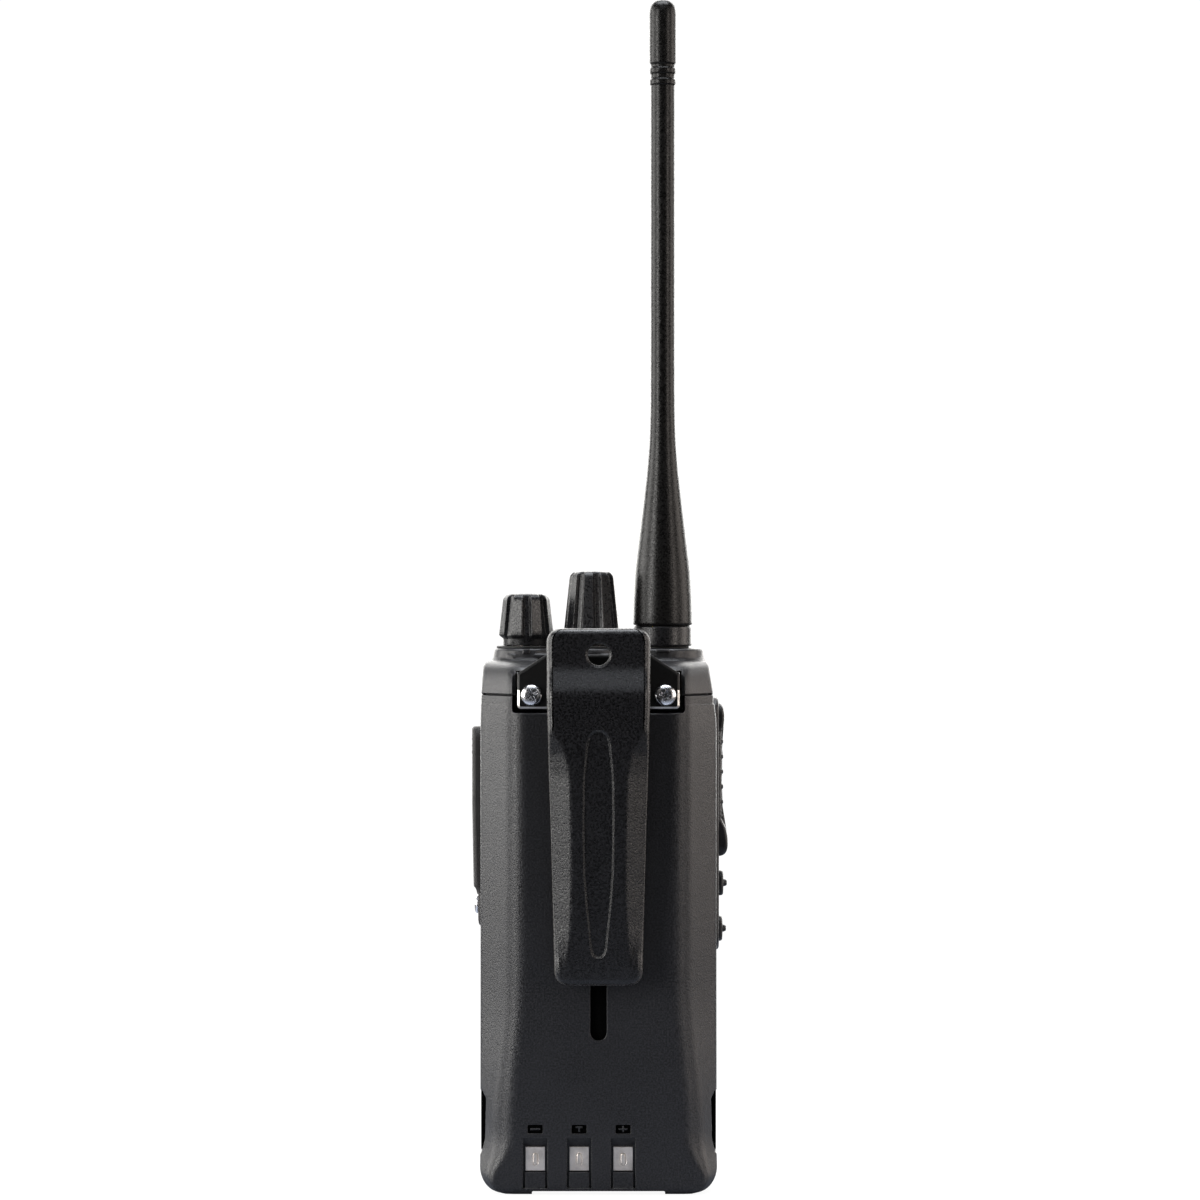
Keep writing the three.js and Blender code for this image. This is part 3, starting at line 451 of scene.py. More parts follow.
def moulded(name, tone, wear_and_highlight_tone, roughness, grain=2500, depth=0.00006, specular=0.5, rim=0.0):
    """Spark-eroded moulded plastic: fine grain, slight mottling, and lighter edges, partly polish from handling
    and partly a painted highlight.
    rim is how much of that lighter colour the rounded rim of the piece takes, as a painted rim highlight."""
    n = Nodes(name)
    fine = n.noise(grain, 2, 0.6)
    pits = n.noise(grain * 2.3, 1, 0.5)
    cloud = n.noise(55, 3)
    normal, edge_mask = n.edges(0.00028)
    # Edges take a lighter colour: partly wear from handling, partly a painted highlight.
    wear_and_highlight_mask = n.math("MULTIPLY", edge_mask, n.ramp(n.noise(900, 3), 0.0, 1.0, 0.42, 0.62))
    dark, light = scaled(tone, 0.3), scaled(tone, 2.0)
    base = n.blended(n.ramp(cloud, 0.0, 0.45, 0.3, 0.7), n.ramp(fine, dark, light, 0.38, 0.62), light)
    colour = n.blended(n.math("MULTIPLY", wear_and_highlight_mask, 0.7), base, wear_and_highlight_tone)
    # Faces that turn between facing back and facing sideways take the lighter colour: a painted rim highlight.
    if rim:
        parts = n.add("ShaderNodeSeparateXYZ")
        n.link(n.add("ShaderNodeTexCoord").outputs["Normal"], parts.inputs["Vector"])
        facing = n.math("ABSOLUTE", parts.outputs["Y"])
        not_flat, not_side = n.ramp(facing, rim, 0.0, 0.45, 0.8), n.ramp(facing, 0.25, 1.0, 0.05, 0.3)
        painted_rim_highlight = n.math("MULTIPLY", not_flat, not_side)
        colour = n.blended(n.math("MULTIPLY", painted_rim_highlight, n.ramp(fine, 0.5, 1.0)), colour, wear_and_highlight_tone)
    mottled = n.ramp(fine, roughness - 0.09, roughness + 0.09, 0.35, 0.65)
    spread = n.math("ADD", mottled, n.math("MULTIPLY", wear_and_highlight_mask, -0.12))
    height = n.math("ADD", fine, n.math("MULTIPLY", pits, 0.4))
    return n.finish(colour, spread, n.bump(height, depth, normal), Specular_IOR_Level=specular)


def rubbery(name, tone, roughness):
    """Moulded rubber or elastomer: nearly matt, faintly dusty."""
    n = Nodes(name)
    fine = n.noise(1500, 3, 0.6)
    dust = n.noise(120, 4, 0.7)
    normal, edge_mask = n.edges(0.00025)
    bright = tuple(1.5 * c + 0.004 for c in tone)
    colour = n.blended(n.math("MULTIPLY", edge_mask, 0.4), n.ramp(dust, tone, bright, 0.4, 0.75), bright)
    spread = n.ramp(fine, roughness - 0.06, roughness + 0.08, 0.3, 0.7)
    return n.finish(colour, spread, n.bump(fine, 0.00002, normal), Specular_IOR_Level=0.45)


def metallic(name, tone, roughness, stretch=(1, 1, 1), depth=0.000006):
    """Plated or drawn metal, with fine lines, stains and small dents."""
    n = Nodes(name)
    lines = n.noise(1400, 4, 0.65, stretch)
    stain = n.noise(260, 4, 0.6)
    normal, edge_mask = n.edges(0.00012)
    colour = n.blended(edge_mask, n.ramp(stain, scaled(tone, 0.7), tone, 0.3, 0.6), scaled(tone, 1.15))
    spread = n.math("ADD", n.ramp(lines, roughness - 0.06, roughness + 0.1), n.ramp(stain, 0.08, 0.0, 0.3, 0.6))
    return n.finish(colour, spread, n.bump(lines, depth, normal), Metallic=1.0)


def cast(name, tone):
    """Die-cast alloy with a pebbled, slightly uneven skin."""
    n = Nodes(name)
    pebble = n.noise(1700, 3, 0.6)
    stain = n.noise(90, 4, 0.6)
    normal, edge_mask = n.edges(0.0003)
    colour = n.blended(edge_mask, n.ramp(stain, scaled(tone, 0.7), tone), scaled(tone, 1.3))
    return n.finish(colour, n.ramp(pebble, 0.42, 0.62), n.bump(pebble, 0.00004, normal), Metallic=1.0)


def coated(name, tone):
    """Black coated steel, with the coating a little thin at its edges."""
    n = Nodes(name)
    fine = n.noise(1900, 3, 0.6)
    normal, edge_mask = n.edges(0.0002)
    thin = n.math("MULTIPLY", edge_mask, n.ramp(n.noise(700, 3), 0.0, 0.6, 0.4, 0.6))
    colour = n.blended(thin, n.ramp(fine, scaled(tone, 0.7), tone), (0.2, 0.19, 0.18))
    return n.finish(colour, n.ramp(fine, 0.36, 0.5), n.bump(fine, 0.00001, normal), Specular_IOR_Level=0.5)


def woven(name, tone):
    """Fine open cloth, woven square."""
    n = Nodes(name)
    weave = n.add("ShaderNodeTexBrick")
    weave.inputs["Scale"].default_value = 2600
    weave.inputs["Color1"].default_value = (*tone, 1)
    weave.inputs["Color2"].default_value = (*scaled(tone, 1.6), 1)
    weave.inputs["Mortar"].default_value = (0.001, 0.001, 0.001, 1)
    turned_place = n.add("ShaderNodeMapping")
    turned_place.inputs["Rotation"].default_value = (math.pi / 2, 0, 0)
    n.link(n.place, turned_place.inputs["Vector"])
    n.link(turned_place.outputs["Vector"], weave.inputs["Vector"])
    spread = n.ramp(n.noise(3000, 2), 0.8, 0.95)
    return n.finish(weave.outputs["Color"], spread, n.bump(weave.outputs["Fac"], 0.00005))


def laminate(name, tone):
    """Circuit board: solder resist over copper tracks."""
    n = Nodes(name)
    tracks = n.add("ShaderNodeTexVoronoi", distance="MANHATTAN", feature="F1")
    tracks.inputs["Scale"].default_value = 380
    n.link(n.place, tracks.inputs["Vector"])
    colour = n.ramp(tracks.outputs["Distance"], scaled(tone, 2.2), tone, 0.2, 0.3)
    return n.finish(colour, n.ramp(n.noise(900, 3), 0.3, 0.45), n.bump(tracks.outputs["Distance"], 0.00003))


def filmed(name, tone, roughness=0.25):
    """Glossy film or clear moulding, faintly wavy."""
    n = Nodes(name)
    wave = n.noise(240, 3)
    colour = n.ramp(wave, scaled(tone, 0.85), tone)
    return n.finish(colour, n.ramp(n.noise(800, 2), roughness - 0.06, roughness + 0.08), n.bump(wave, 0.00006))


BLACK, WEAR_AND_HIGHLIGHT_BLACK = (0.013, 0.013, 0.0145), (0.075, 0.072, 0.07)
FINISHES = {  # by the record's material slot
    "case_plastic": moulded("case_plastic", BLACK, WEAR_AND_HIGHLIGHT_BLACK, 0.38),
    "battery_plastic": moulded("battery_plastic", BLACK, WEAR_AND_HIGHLIGHT_BLACK, 0.38),
    "clip_plastic": moulded("clip_plastic", (0.0075, 0.0075, 0.0085), (0.1, 0.096, 0.092), 0.3, 2200, rim=0.8),
    "knob_plastic": moulded("knob_plastic", (0.008, 0.008, 0.0092), (0.2, 0.19, 0.18), 0.33, 2600, 0.00004),
    "antenna_rubber": moulded(
        "antenna_rubber", (0.0045, 0.0042, 0.004), (0.03, 0.028, 0.026), 0.32, 2400, 0.00004, specular=0.3,
    ),
    "key_rubber": rubbery("key_rubber", (0.014, 0.014, 0.015), 0.42),
    "cover_rubber": rubbery("cover_rubber", (0.022, 0.02, 0.02), 0.6),
    "seal_rubber": rubbery("seal_rubber", (0.008, 0.008, 0.008), 0.55),
    "component_plastic": moulded("component_plastic", (0.014, 0.014, 0.015), (0.03, 0.03, 0.03), 0.45),
    "chassis_alloy": cast("chassis_alloy", (0.36, 0.37, 0.38)),
    "bracket_steel": coated("bracket_black", (0.003, 0.0025, 0.0025)),
    "screw_steel": metallic("screw_steel", (0.78, 0.78, 0.8), 0.2),
    "spring_steel": metallic("spring_steel", (0.5, 0.5, 0.5), 0.3, (1, 8, 8)),
    "contact_nickel": metallic("contact_nickel", (0.74, 0.68, 0.62), 0.34, (8, 8, 0.6), 0.000004),
    "terminal_gold": metallic("terminal_gold", (0.78, 0.56, 0.22), 0.25),
    "board_laminate": laminate("board_laminate", (0.012, 0.09, 0.035)),
    "cell_wrap": filmed("cell_wrap", (0.03, 0.1, 0.32)),
    "lens_plastic": filmed("lens_plastic", (0.5, 0.48, 0.43), 0.3),
    "speaker_cloth": woven("speaker_cloth", (0.012, 0.012, 0.012)),
}
# Near-black for the slot, the sign fields and the side slits' front walls: painted shade where those recesses
# fall into shadow.
PAINTED_SHADE_BLACK = moulded("painted_shade_black", (0.0012, 0.0012, 0.0012), (0.004, 0.004, 0.004), 0.9, specular=0.05)
# Bright steel for the bracket's lower edges: partly bare sheared metal, partly a painted highlight.
SHEARED_EDGE_HIGHLIGHT_STEEL = metallic("bracket_edge_highlight", (0.62, 0.6, 0.57), 0.3)

# ------------------------------------------------------------------ the body's outer shape
SHOULDER_CURVE = [(REAR, PACK_TOP), (REAR - 0.4, PACK_TOP + 3.6), (REAR - 2.2, BODY_TOP), (REAR - 8, BODY_TOP)]


def bezier(points, t):
    a, b, c, d = (np.array(p) for p in points)
    return (1 - t) ** 3 * a + 3 * t * (1 - t) ** 2 * b + 3 * t**2 * (1 - t) * c + t**3 * d


SHOULDER = np.array([bezier(SHOULDER_CURVE, t) for t in np.linspace(0, 1, 33)])


def body_levels(low, high):
    """Heights of the body's rings: close together where its edges are round."""
    base = BASE_RADIUS * (1 - np.cos(np.linspace(0, math.pi / 2, 15)))
    levels = np.concatenate([base, np.arange(9, PACK_TOP - 1, 3.0), SHOULDER[:, 1]])
    levels = [low, *(z for z in levels if low + 0.05 < z < high - 0.05), high]
    return np.array(levels)


def half_widths(z, half_width):
    """Half width on the +X and -X side: the -X shoulder draws in more."""
    draw_in = quarter_round(z, BASE_RADIUS) + quarter_round(BODY_TOP - z, 1.8)
    rise = np.clip((z - 107) / (BODY_TOP - 109), 0, 1)
    return half_width - draw_in - 0.5 * rise**1.5, half_width - draw_in - 1.6 * rise**1.2


def body_outline(z, half_width, inset=0.0):
    """The body seen from above at a height, or its cavity where inset is the wall."""
    right, left = (h - inset for h in half_widths(z, half_width))
    rear = np.interp(z, SHOULDER[:, 1], SHOULDER[:, 0]) - quarter_round(z, 1.8) - inset
    front = FRONT + quarter_round(z, 1.6) + quarter_round(BODY_TOP - z, 3.4) + inset
    low = 1 - smooth((z - 14) / 34)
    slanted = smooth(z / 13)  # the slanted corners fade out at the base
    back = right + inset - 1.3 + slanted * (19.4 + 3.0 * low - HALF_WIDTH + 1.3) - 0.46 * inset
    side = rear - 1.8 + slanted * (1.2 * low - 7.2) + 0.63 * inset * slanted
    corner = {"front": 8.5, "side": 0.8 + 1.8 * slanted, "back": 0.8 + 6.2 * slanted}
    corner = {name: max(0.5, radius - inset) for name, radius in corner.items()}
    return rounded([
        (-left, front, corner["front"]), (right, front, corner["front"]), (right, side, corner["side"]),
        (back, rear, corner["back"]), (-back, rear, corner["back"]), (-left, side, corner["side"]),
    ], 8)


def body(half_width, low=0.0, high=BODY_TOP, inset=0.0):
    return solid([placed(body_outline(z, half_width, inset), "Z", z) for z in body_levels(low, high)])


def silhouette(half_width):
    """The body seen from the back."""
    levels = body_levels(0, BODY_TOP)
    right, left = half_widths(levels, half_width)
    return np.concatenate([np.stack([right, levels], 1), np.stack([-left, levels], 1)[::-1]])


def box(low, high, radius=0.0, axis="Z"):
    """A block between two corners, with its edges along one axis rounded."""
    u, v, w = AXES[axis]
    outline = rectangle(low[u], high[u], low[v], high[v], max(radius, 0.02), 4 if radius else 1)
    return bar(outline, axis, low[w], high[w])


# ------------------------------------------------------------------ the front case
KEY_Y = centre_of("ptt_button")[1]
SPEAKER = centre_of("speaker_cloth")
PLATE_SIDE, PLATE_BOTTOM, PLATE_TOP = PLATE_HIGH[0], PLATE_LOW[2], PLATE_HIGH[2]
PLATE_SHOULDER, PLATE_TOP_HALF = PLATE_TOP - 4.3, 12.0


def plate_outline(side, bottom, top):
    """The clip bracket's outline, with its sides, foot and upper edges moved out."""
    corners = [
        (PLATE_SIDE + side, PLATE_BOTTOM - bottom), (PLATE_SIDE + side, PLATE_SHOULDER + top),
        (PLATE_TOP_HALF + top * 0.6, PLATE_TOP + top),
    ]
    mirrored = [(-u, v) for u, v in reversed(corners)]
    return rounded([(u, v, r) for (u, v), r in zip(corners + mirrored, (0.9, 0.5, 0.5, 0.5, 0.5, 0.9))], 4)


def boss(x, y, foot, head):
    """A round stand on the deck, with a soft foot and a crisp upper edge."""
    profile = [
        (foot + 0.9, BODY_TOP - 1), (foot + 0.4, BODY_TOP), (foot, BODY_TOP + 0.6),
        (head + 0.1, DECK_TOP - 0.5), (head, DECK_TOP - 0.3), (head - 0.35, DECK_TOP), (0, DECK_TOP),
    ]
    return spun(softened(profile, 0.5), "Z", (x, y))


def grille_slots():
    """Level slots that fill a circle over the loudspeaker."""
    tools = []
    for rise in 3.7 * np.arange(-4, 5):
        z = SPEAKER[2] + rise
        half = math.sqrt(16.8**2 - rise**2)
        outline = rectangle(SPEAKER[0] - half, SPEAKER[0] + half, z - 0.75, z + 0.75, 0.74)
        tools.append(bar(outline, "Y", FRONT, FRONT + 4, (-0.35, 0)))
    return tools


def key_hole(half, bottom, top, radius):
    """A hole for a key, from its half width and its ends, with a rounded lip."""
    return bar(rectangle(KEY_Y - half, KEY_Y + half, bottom, top, radius), "X", CASE_LOW[0], -22, (-0.3, 0))


def make_front_case():
    keep = joined(
        bar(grown(silhouette(HALF_WIDTH), 0.02), "Y", FRONT - 5, CASE_REAR, (0, EDGE)),
        bar(grown(silhouette(HALF_WIDTH), -LIP_INSET), "Y", FRONT - 5, PACK_FRONT - LIP_GAP),
        bar(grown(body_outline(CASE_LEDGE, HALF_WIDTH), 0.06), "Z", CASE_LEDGE, BODY_TOP + 5, (EDGE, 0)),
        bar(grown(body_outline(CASE_LEDGE, HALF_WIDTH), -LIP_INSET), "Z", PACK_TOP + LIP_GAP, BODY_TOP + 5),
    )
    case = shared(body(HALF_WIDTH), keep)
    volume, channel, antenna = (centre_of(n) for n in ("volume_knob", "channel_knob", "antenna_ring"))
    pad = rectangle(KEY_Y - 6, KEY_Y + 6, 53.8, 112.6, 4)
    tick = rectangle(volume[0] - 0.9, volume[0] + 0.7, volume[1], volume[1] + 7.9, 0.3)
    tab = rectangle(antenna[0] - 1.4, antenna[0] + 1.6, antenna[1], antenna[1] + 9.7, 0.2)
    deck = rectangle(-20.5, 22, -12.5, 1.2, 3)
    case = joined(
        case,
        bar(deck, "Z", BODY_TOP - 1, BODY_TOP + 1.6, (0, 0.6)),
        boss(volume[0], volume[1], 7.8, 7.4),
        boss(channel[0], channel[1], 7.8, 7.4),
        boss(antenna[0], antenna[1], 9.6, 9.3),
        bar(tick, "Z", DECK_TOP - 1.1, DECK_TOP - 0.15, (0, 0.15)),
        bar(tab, "Z", DECK_TOP - 0.75, DECK_TOP - 0.2, (0, 0.1)),
        bar(pad, "X", CASE_LOW[0], CASE_LOW[0] + 6, (0.8, 0)),
    )
    room = shared(body(HALF_WIDTH, WALL, BODY_TOP - WALL, WALL), box((-40, -40, -1), (40, CASE_REAR + 1, 140)))
    ptt_low, ptt_high = corners_of("ptt_button")
    mouth = [(0.8, FRONT + 5), (0.8, FRONT + 0.4), (1.3, FRONT), (1.3, FRONT - 1)]
    holes = [
        box((-18.9, -0.9, 100), (18.9, 20, 119.1)),
        bar(plate_outline(1.1, 3, 0.45), "Y", PLATE_FRONT - 0.6, 20),
        *grille_slots(),
        bore("Z", volume[:2], 3.6, 110, 130),
        bore("Z", channel[:2], 3.6, 110, 130),
        bore("Z", antenna[:2], 3.5, 110, 130),
        bore("Z", centre_of("status_lens")[:2], 1.4, 110, 130),
        spun(mouth, "Y", (0, centre_of("microphone")[2]), 32),
        key_hole(4.2, ptt_low[2] + 0.7, ptt_high[2] + 0.3, 2.8),
        bar(rectangle(-15.5, 15.5, 14, 56, 3), "Y", FRONT, FRONT + 0.45, (-0.25, 0)),
        bar(rectangle(-6.5, 6.5, -9.8, -2.6, 0.8), "Z", 0, 3, (-0.3, 0)),
    ]
    for node in ("side_key_upper", "side_key_lower"):
        z = centre_of(node)[2]
        holes.append(key_hole(2.8, z - 3.2, z + 3.2, 2))
    socket_low, socket_high = corners_of("jack_block")
    jack_y = centre_of("jack_cover")[1]
    holes.append(bar(rectangle(jack_y - 3, jack_y + 3, socket_low[2] - 1, socket_high[2] + 1, 2), "X", 20, 40))
    holes.append(bore("X", (jack_y, centre_of("jack_cover_screw")[2]), 1.2, 20, 40, 24))
    piece(cut(case, room, *holes), "front_case_shell", "root", "case_plastic", "front_case")


# ------------------------------------------------------------------ the battery pack
CHARGE_NODES = {sign: f"charge_contact_{sign}" for sign in ("minus", "sense", "plus")}
WINDOW_HALF = 2.8
MARK_Z = 15.0
MARK_STROKES = {  # half width, half height and rise of each stroke
    "minus": [(1.15, 0.2, 0)],
    "sense": [(0.8, 0.2, 0.45), (0.2, 0.65, 0)],
    "plus": [(1.0, 0.19, 0), (0.19, 0.72, 0)],
}


def contact_window(x):
    """A pocket with a ramp above the plate, and below it a tongue between two slots."""
    floor = corners_of("charge_contact_plus")[0][1] - 0.02
    foot, head = 5.2, 13.1
    ramp = rounded(
        [(floor, foot, 0.02), (20, foot, 0.02), (20, head, 0.02), (REAR, head, 0.3), (floor, head - 2, 0.3)], 3
    )
    tongue = rectangle(x - WINDOW_HALF + 0.02, x + WINDOW_HALF - 0.02, 1.5, 5.4, 0.3, 2)
    tools = [bar(ramp, "X", x - WINDOW_HALF, x + WINDOW_HALF), bar(tongue, "Y", REAR - 0.35, 20)]
    for side in (-1, 1):
        slot = rectangle(*sorted((x + side * 2.3, x + side * WINDOW_HALF)), 1.5, 5.3, 0.1, 2)
        tools.append(bar(slot, "Y", floor, 20))
    return tools


def mark_bars(name, x):
    """The raised strokes of a terminal's sign, about the middle of its field."""
    for half, height, up in MARK_STROKES[name]:
        outline = rectangle(x - half, x + half, MARK_Z + up - height, MARK_Z + up + height, 0.08, 2)
        yield bar(outline, "Y", REAR - 0.8, REAR - 0.08, (0, 0.08), 2)


def make_battery_pack():
    half = HALF_WIDTH
    rim = grown(body_outline(PACK_TOP, half), 0.02)
    loose = grown(rim, 6)
    under_seam = solid([
        placed(loose, "Z", -3), placed(loose, "Z", PACK_TOP - 9), placed(rim, "Z", PACK_TOP - 2),
        *(placed(grown(rim, -EDGE * (1 - math.cos(a))), "Z", PACK_TOP - EDGE * (1 - math.sin(a)))
          for a in np.linspace(0, math.pi / 2, 5)),
    ])
    pack = shared(
        body(half, 0, PACK_TOP + 3),
        bar(grown(silhouette(half), 0.02), "Y", PACK_FRONT, REAR + 5, (EDGE, 0)),
        under_seam,
    )
    inner = joined(
        shared(body(half, 2.2, 107.6, WALL), box((-40, 0, 2), (40, 40, 108))),
        box((-24.6, 0, 2.2), (24.6, 5.4, 107.6)),
    )
    notch = rectangle(-19.6, 19.6, PLATE_BOTTOM - 0.85, 140, 0.7)
    tools = [
        bar(notch, "Y", -1, REAR, (0, -0.4)),
        bar(rectangle(-1.85, 1.85, 35.2, 63, 1.8), "Y", REAR - 1.35, REAR, (0, -0.2)),
        box((-15.2, 8, -1), (15.2, 20, 0.9), 0.4, "Y"),
    ]
    marks = []
    for name, node in CHARGE_NODES.items():
        x = centre_of(node)[0]
        tools += contact_window(x)
        field = rectangle(x - 1.7, x + 1.7, MARK_Z - 1, MARK_Z + 1, 0.25)
        tools.append(bar(field, "Y", REAR - 0.6, REAR, (0, -0.1), 2))
        marks += mark_bars(name, x)
    # Each slit stops short of the pack's front, leaving a thin wall that carries painted shade.
    slit = rounded([
        (2.3, 8.6, 0.2), (10.2, 8.6, 0.6), (10.2, 21.2, 0.6), (8.8, 22.9, 0.5), (2.3, 22.9, 0.2),
    ], 3)
    for side in (-1, 1):
        edges = (0, -0.25) if side > 0 else (-0.25, 0)
        tools.append(bar(slit, "X", *sorted((side * (half - 1.55), side * half)), edges))
    pack = joined(cut(pack, inner, *tools), *marks)

    # Faces in the slot, in the sunk sign fields and on the side slits' front walls take painted shade.
    def is_painted_shade(place, normal):
        x, y, z = place
        in_slot = abs(x) < 1.9 and 35 < z < 62 and y < REAR - 0.25
        in_mark = abs(z - MARK_Z) < 1.1 and y < REAR - 0.4
        in_slit = 25.5 < abs(x) and 8.7 < z < 22.8 and y < 2.6 and normal.y > 0.6
        return in_slit or 14 < y and (in_slot or in_mark)

    painted(pack, FINISHES["battery_plastic"], PAINTED_SHADE_BLACK, is_painted_shade)
    piece(pack, "battery_pack_shell", "battery", "battery_plastic", "battery_shell")


def make_charge_contacts():
    """Plated contacts, each with a long pip pressed out of its middle."""
    for name, node in CHARGE_NODES.items():
        low, high = corners_of(node)
        x, z = (low[0] + high[0]) / 2, (low[2] + high[2]) / 2
        face = high[1]
        plate = bar(rectangle(low[0], high[0], low[2], high[2], 0.12, 3), "Y", low[1], face - 0.2, (0, 0.1), 3)
        pip = bar(rectangle(x - 0.5, x + 0.5, z - 1.25, z + 1.25, 0.48), "Y", face - 0.35, face, (0, 0.17))
        ring = bar(rectangle(x - 0.75, x + 0.75, z - 1.5, z + 1.5, 0.72), "Y", face - 0.28, face + 1)
        piece(joined(cut(plate, ring), pip), f"charge_plate_{name}", "battery", "contact_nickel", node)


# ------------------------------------------------------------------ the belt clip
PIN = centre_of("clip_pin")
RIM = 1.6
SECTIONS = np.array([  # height, half width, outer face, inner face, drop at the rim, half width of the ridge
    (PADDLE_LOW[2], 9.9, 21.7, 17.0, 0.2, 7.4),
    (52.4, 10.05, 22.1, 17.0, 0.3, 7.2),
    (55.0, 10.1, 22.25, 19.3, 0.9, 6.8),
    (62.0, 10.25, 22.7, 19.6, 1.7, 6.2),
    (72.0, 10.5, 23.3, 20.1, 2.1, 6.0),
    (84.0, 10.8, 24.0, 20.7, 2.2, 6.1),
    (96.0, 11.2, 24.6, 21.4, 2.1, 6.4),
    (101.0, 11.35, 24.8, 21.7, 1.75, 7.5),
    (105.6, 11.45, 24.95, 22.15, 0.35, 10.1),
    (107.0, 11.5, 25.0, 22.25, 0.12, 10.3),
    (113.6, 11.7, 25.1, 22.4, 0.1, 10.3),
    (115.2, 11.7, 24.75, 22.1, 0.1, 10.3),
    (119.4, 11.7, 22.7, 20.4, 0.1, 10.3),
    (121.0, 11.7, 22.3, 19.7, 0.1, 10.3),
    (PADDLE_HIGH[2], 11.7, 22.1, 19.2, 0.1, 10.3),
])
SPINDLE = np.array([  # height and half width of the sunk field on the blade, between its round ends
    (54.7, 1.6), (56.0, 1.8), (60.2, 2.2), (67.0, 2.9), (74.0, 3.4), (85.0, 3.55), (95.0, 3.45),
    (100.5, 2.95), (105.9, 2.3),
])
SPINDLE_ENDS = ((56.3, 1.75), (103.6, 2.45))  # height and radius of each end
FIELD_DEPTH = 0.5


def section_at(z):
    """The paddle's section at a height, eased over a short stretch either side."""
    window = z + np.linspace(-1.1, 1.1, 9)
    return [np.mean(np.interp(window, SECTIONS[:, 0], SECTIONS[:, k])) for k in range(1, 6)]


def paddle_ring(z):
    half, outer, inner, drop, ridge = section_at(z)
    to_end = min(z - PADDLE_LOW[2], PADDLE_HIGH[2] - z)
    half -= quarter_round(to_end, 3.1)
    outer -= quarter_round(to_end, RIM)
    inner += quarter_round(to_end, 0.4)
    ridge = min(ridge, half - 1.3)
    rim = max(0.2, min(RIM, outer - drop - inner - 0.42))
    outline = rounded([
        (-half, inner, 0.35), (half, inner, 0.35), (half, outer - drop, rim),
        (ridge, outer, 3.0), (-ridge, outer, 3.0), (-half, outer - drop, rim),
    ], 6, {3: 72})
    width = np.interp(z, SPINDLE[:, 0], SPINDLE[:, 1])
    for (centre, radius), beyond in zip(SPINDLE_ENDS, (-1, 1)):
        past = beyond * (z - centre) / radius
        if past > 0:
            width = min(width, radius * math.sqrt(max(0, 1 - past**2)))
    on_face = outline[:, 1] > outer - 0.3
    sunk = FIELD_DEPTH * smooth((width - np.abs(outline[:, 0])) / 0.35) * (width > 0)
    outline[:, 1] -= np.where(on_face, sunk, 0)
    return placed(outline, "Z", z)


def make_paddle():
    low, high = PADDLE_LOW[2], PADDLE_HIGH[2]
    end = 3.1 * (1 - np.cos(np.linspace(0, math.pi / 2, 12)))
    middle = np.concatenate([np.arange(low + 3.4, 106.4, 0.3), np.arange(106.4, high - 3.2, 0.5)])
    blade = solid([paddle_ring(z) for z in np.concatenate([low + end, middle, high - end[::-1]])])
    lug = rounded([
        (17.2, 114.8, 0.8), (20, 111.6, 0.8), (22.8, 111.2, 0.5), (21.3, 118.6, 1),
        (20.4, 122.5, 0.2), (19.6, 122.5, 0.3), (17.2, 120.4, 0.8),
    ], 5)
    lugs = [bar(lug, "X", *sorted((side * 9, side * 11.68)), (0.35, 0.35)) for side in (-1, 1)]
    hole = centre_of("clip_paddle")[0], 123.1
    mouth, lip = 22.15, 0.45  # where the thumb end's hole meets its outer face, and the round of its lip
    rounding = [(2.45 + quarter_round(lip - d, lip), mouth - lip + d) for d in np.linspace(0.05, lip, 6)]
    tools = [
        spun([(2.45, 10), (2.45, mouth - lip), *rounding, (2.9, 30)], "Y", hole, 64),
        bore("X", PIN[1:], 1.25, -13, 13),
        bore("X", PIN[1:], 2.75, -8.9, 8.9, 48),
        box((-4.8, 10, PIN[2] - 1), (4.8, 20.9, 124.3)),
    ]
    paddle = cut(joined(blade, *lugs), *tools)
    piece(paddle, "belt_clip_paddle", "clip", "clip_plastic", "clip_paddle", angle=40)


def make_bracket():
    """A folded plate, black on its faces, with bright steel on the lower part of its sheared edges, partly bare
    metal and partly a painted highlight.
    """
    outline = densified(plate_outline(0, 0, 0), 0.5)
    edge = [  # how far in, and where along Y
        (0, PLATE_FRONT), (0, PLATE_REAR - 0.34), (0.08, PLATE_REAR - 0.22), (0.5, PLATE_REAR - 0.04),
        (0.62, PLATE_REAR),
    ]
    plate = solid([placed(grown(outline, -inset), "Y", y) for inset, y in edge])
    radius = PLATE_HIGH[1] - PIN[1]
    angles = np.linspace(-math.pi / 2, math.pi / 2, 24)
    arc = [(PIN[1] + radius * math.cos(a), PIN[2] + radius * math.sin(a)) for a in angles]
    ear = np.array([(PLATE_FRONT + 0.3, PIN[2] - 4.2), *arc, (PLATE_FRONT + 0.3, PIN[2] + 4.2)])
    ears = [bar(ear, "X", *sorted((side * 7.2, side * 8.4)), (0.15, 0.15)) for side in (-1, 1)]
    screw_z = centre_of("clip_screw_left")[2]
    holes = [bore("X", PIN[1:], 1.3, -12, 12)]
    holes += [bore("Y", (side * 15.2, screw_z), 1.7, 10, 20) for side in (-1, 1)]
    bracket = cut(joined(plate, *ears), *holes)

    # Only the lower sides and the foot take the bright steel, where light catches the edge: a painted highlight
    # on sheared metal.
    def is_sheared_edge_highlight(place, normal):
        x, y, z = place
        on_rim = abs(normal.y) < 0.97 and PLATE_FRONT < y < PLATE_REAR - 0.01
        return on_rim and z < PLATE_BOTTOM + 4.2 and (abs(x) > PLATE_SIDE - 1 or z < PLATE_BOTTOM + 0.8)

    painted(bracket, FINISHES["bracket_steel"], SHEARED_EDGE_HIGHLIGHT_STEEL, is_sheared_edge_highlight)
    piece(bracket, "clip_bracket_plate", "root", "bracket_steel", "clip_bracket")


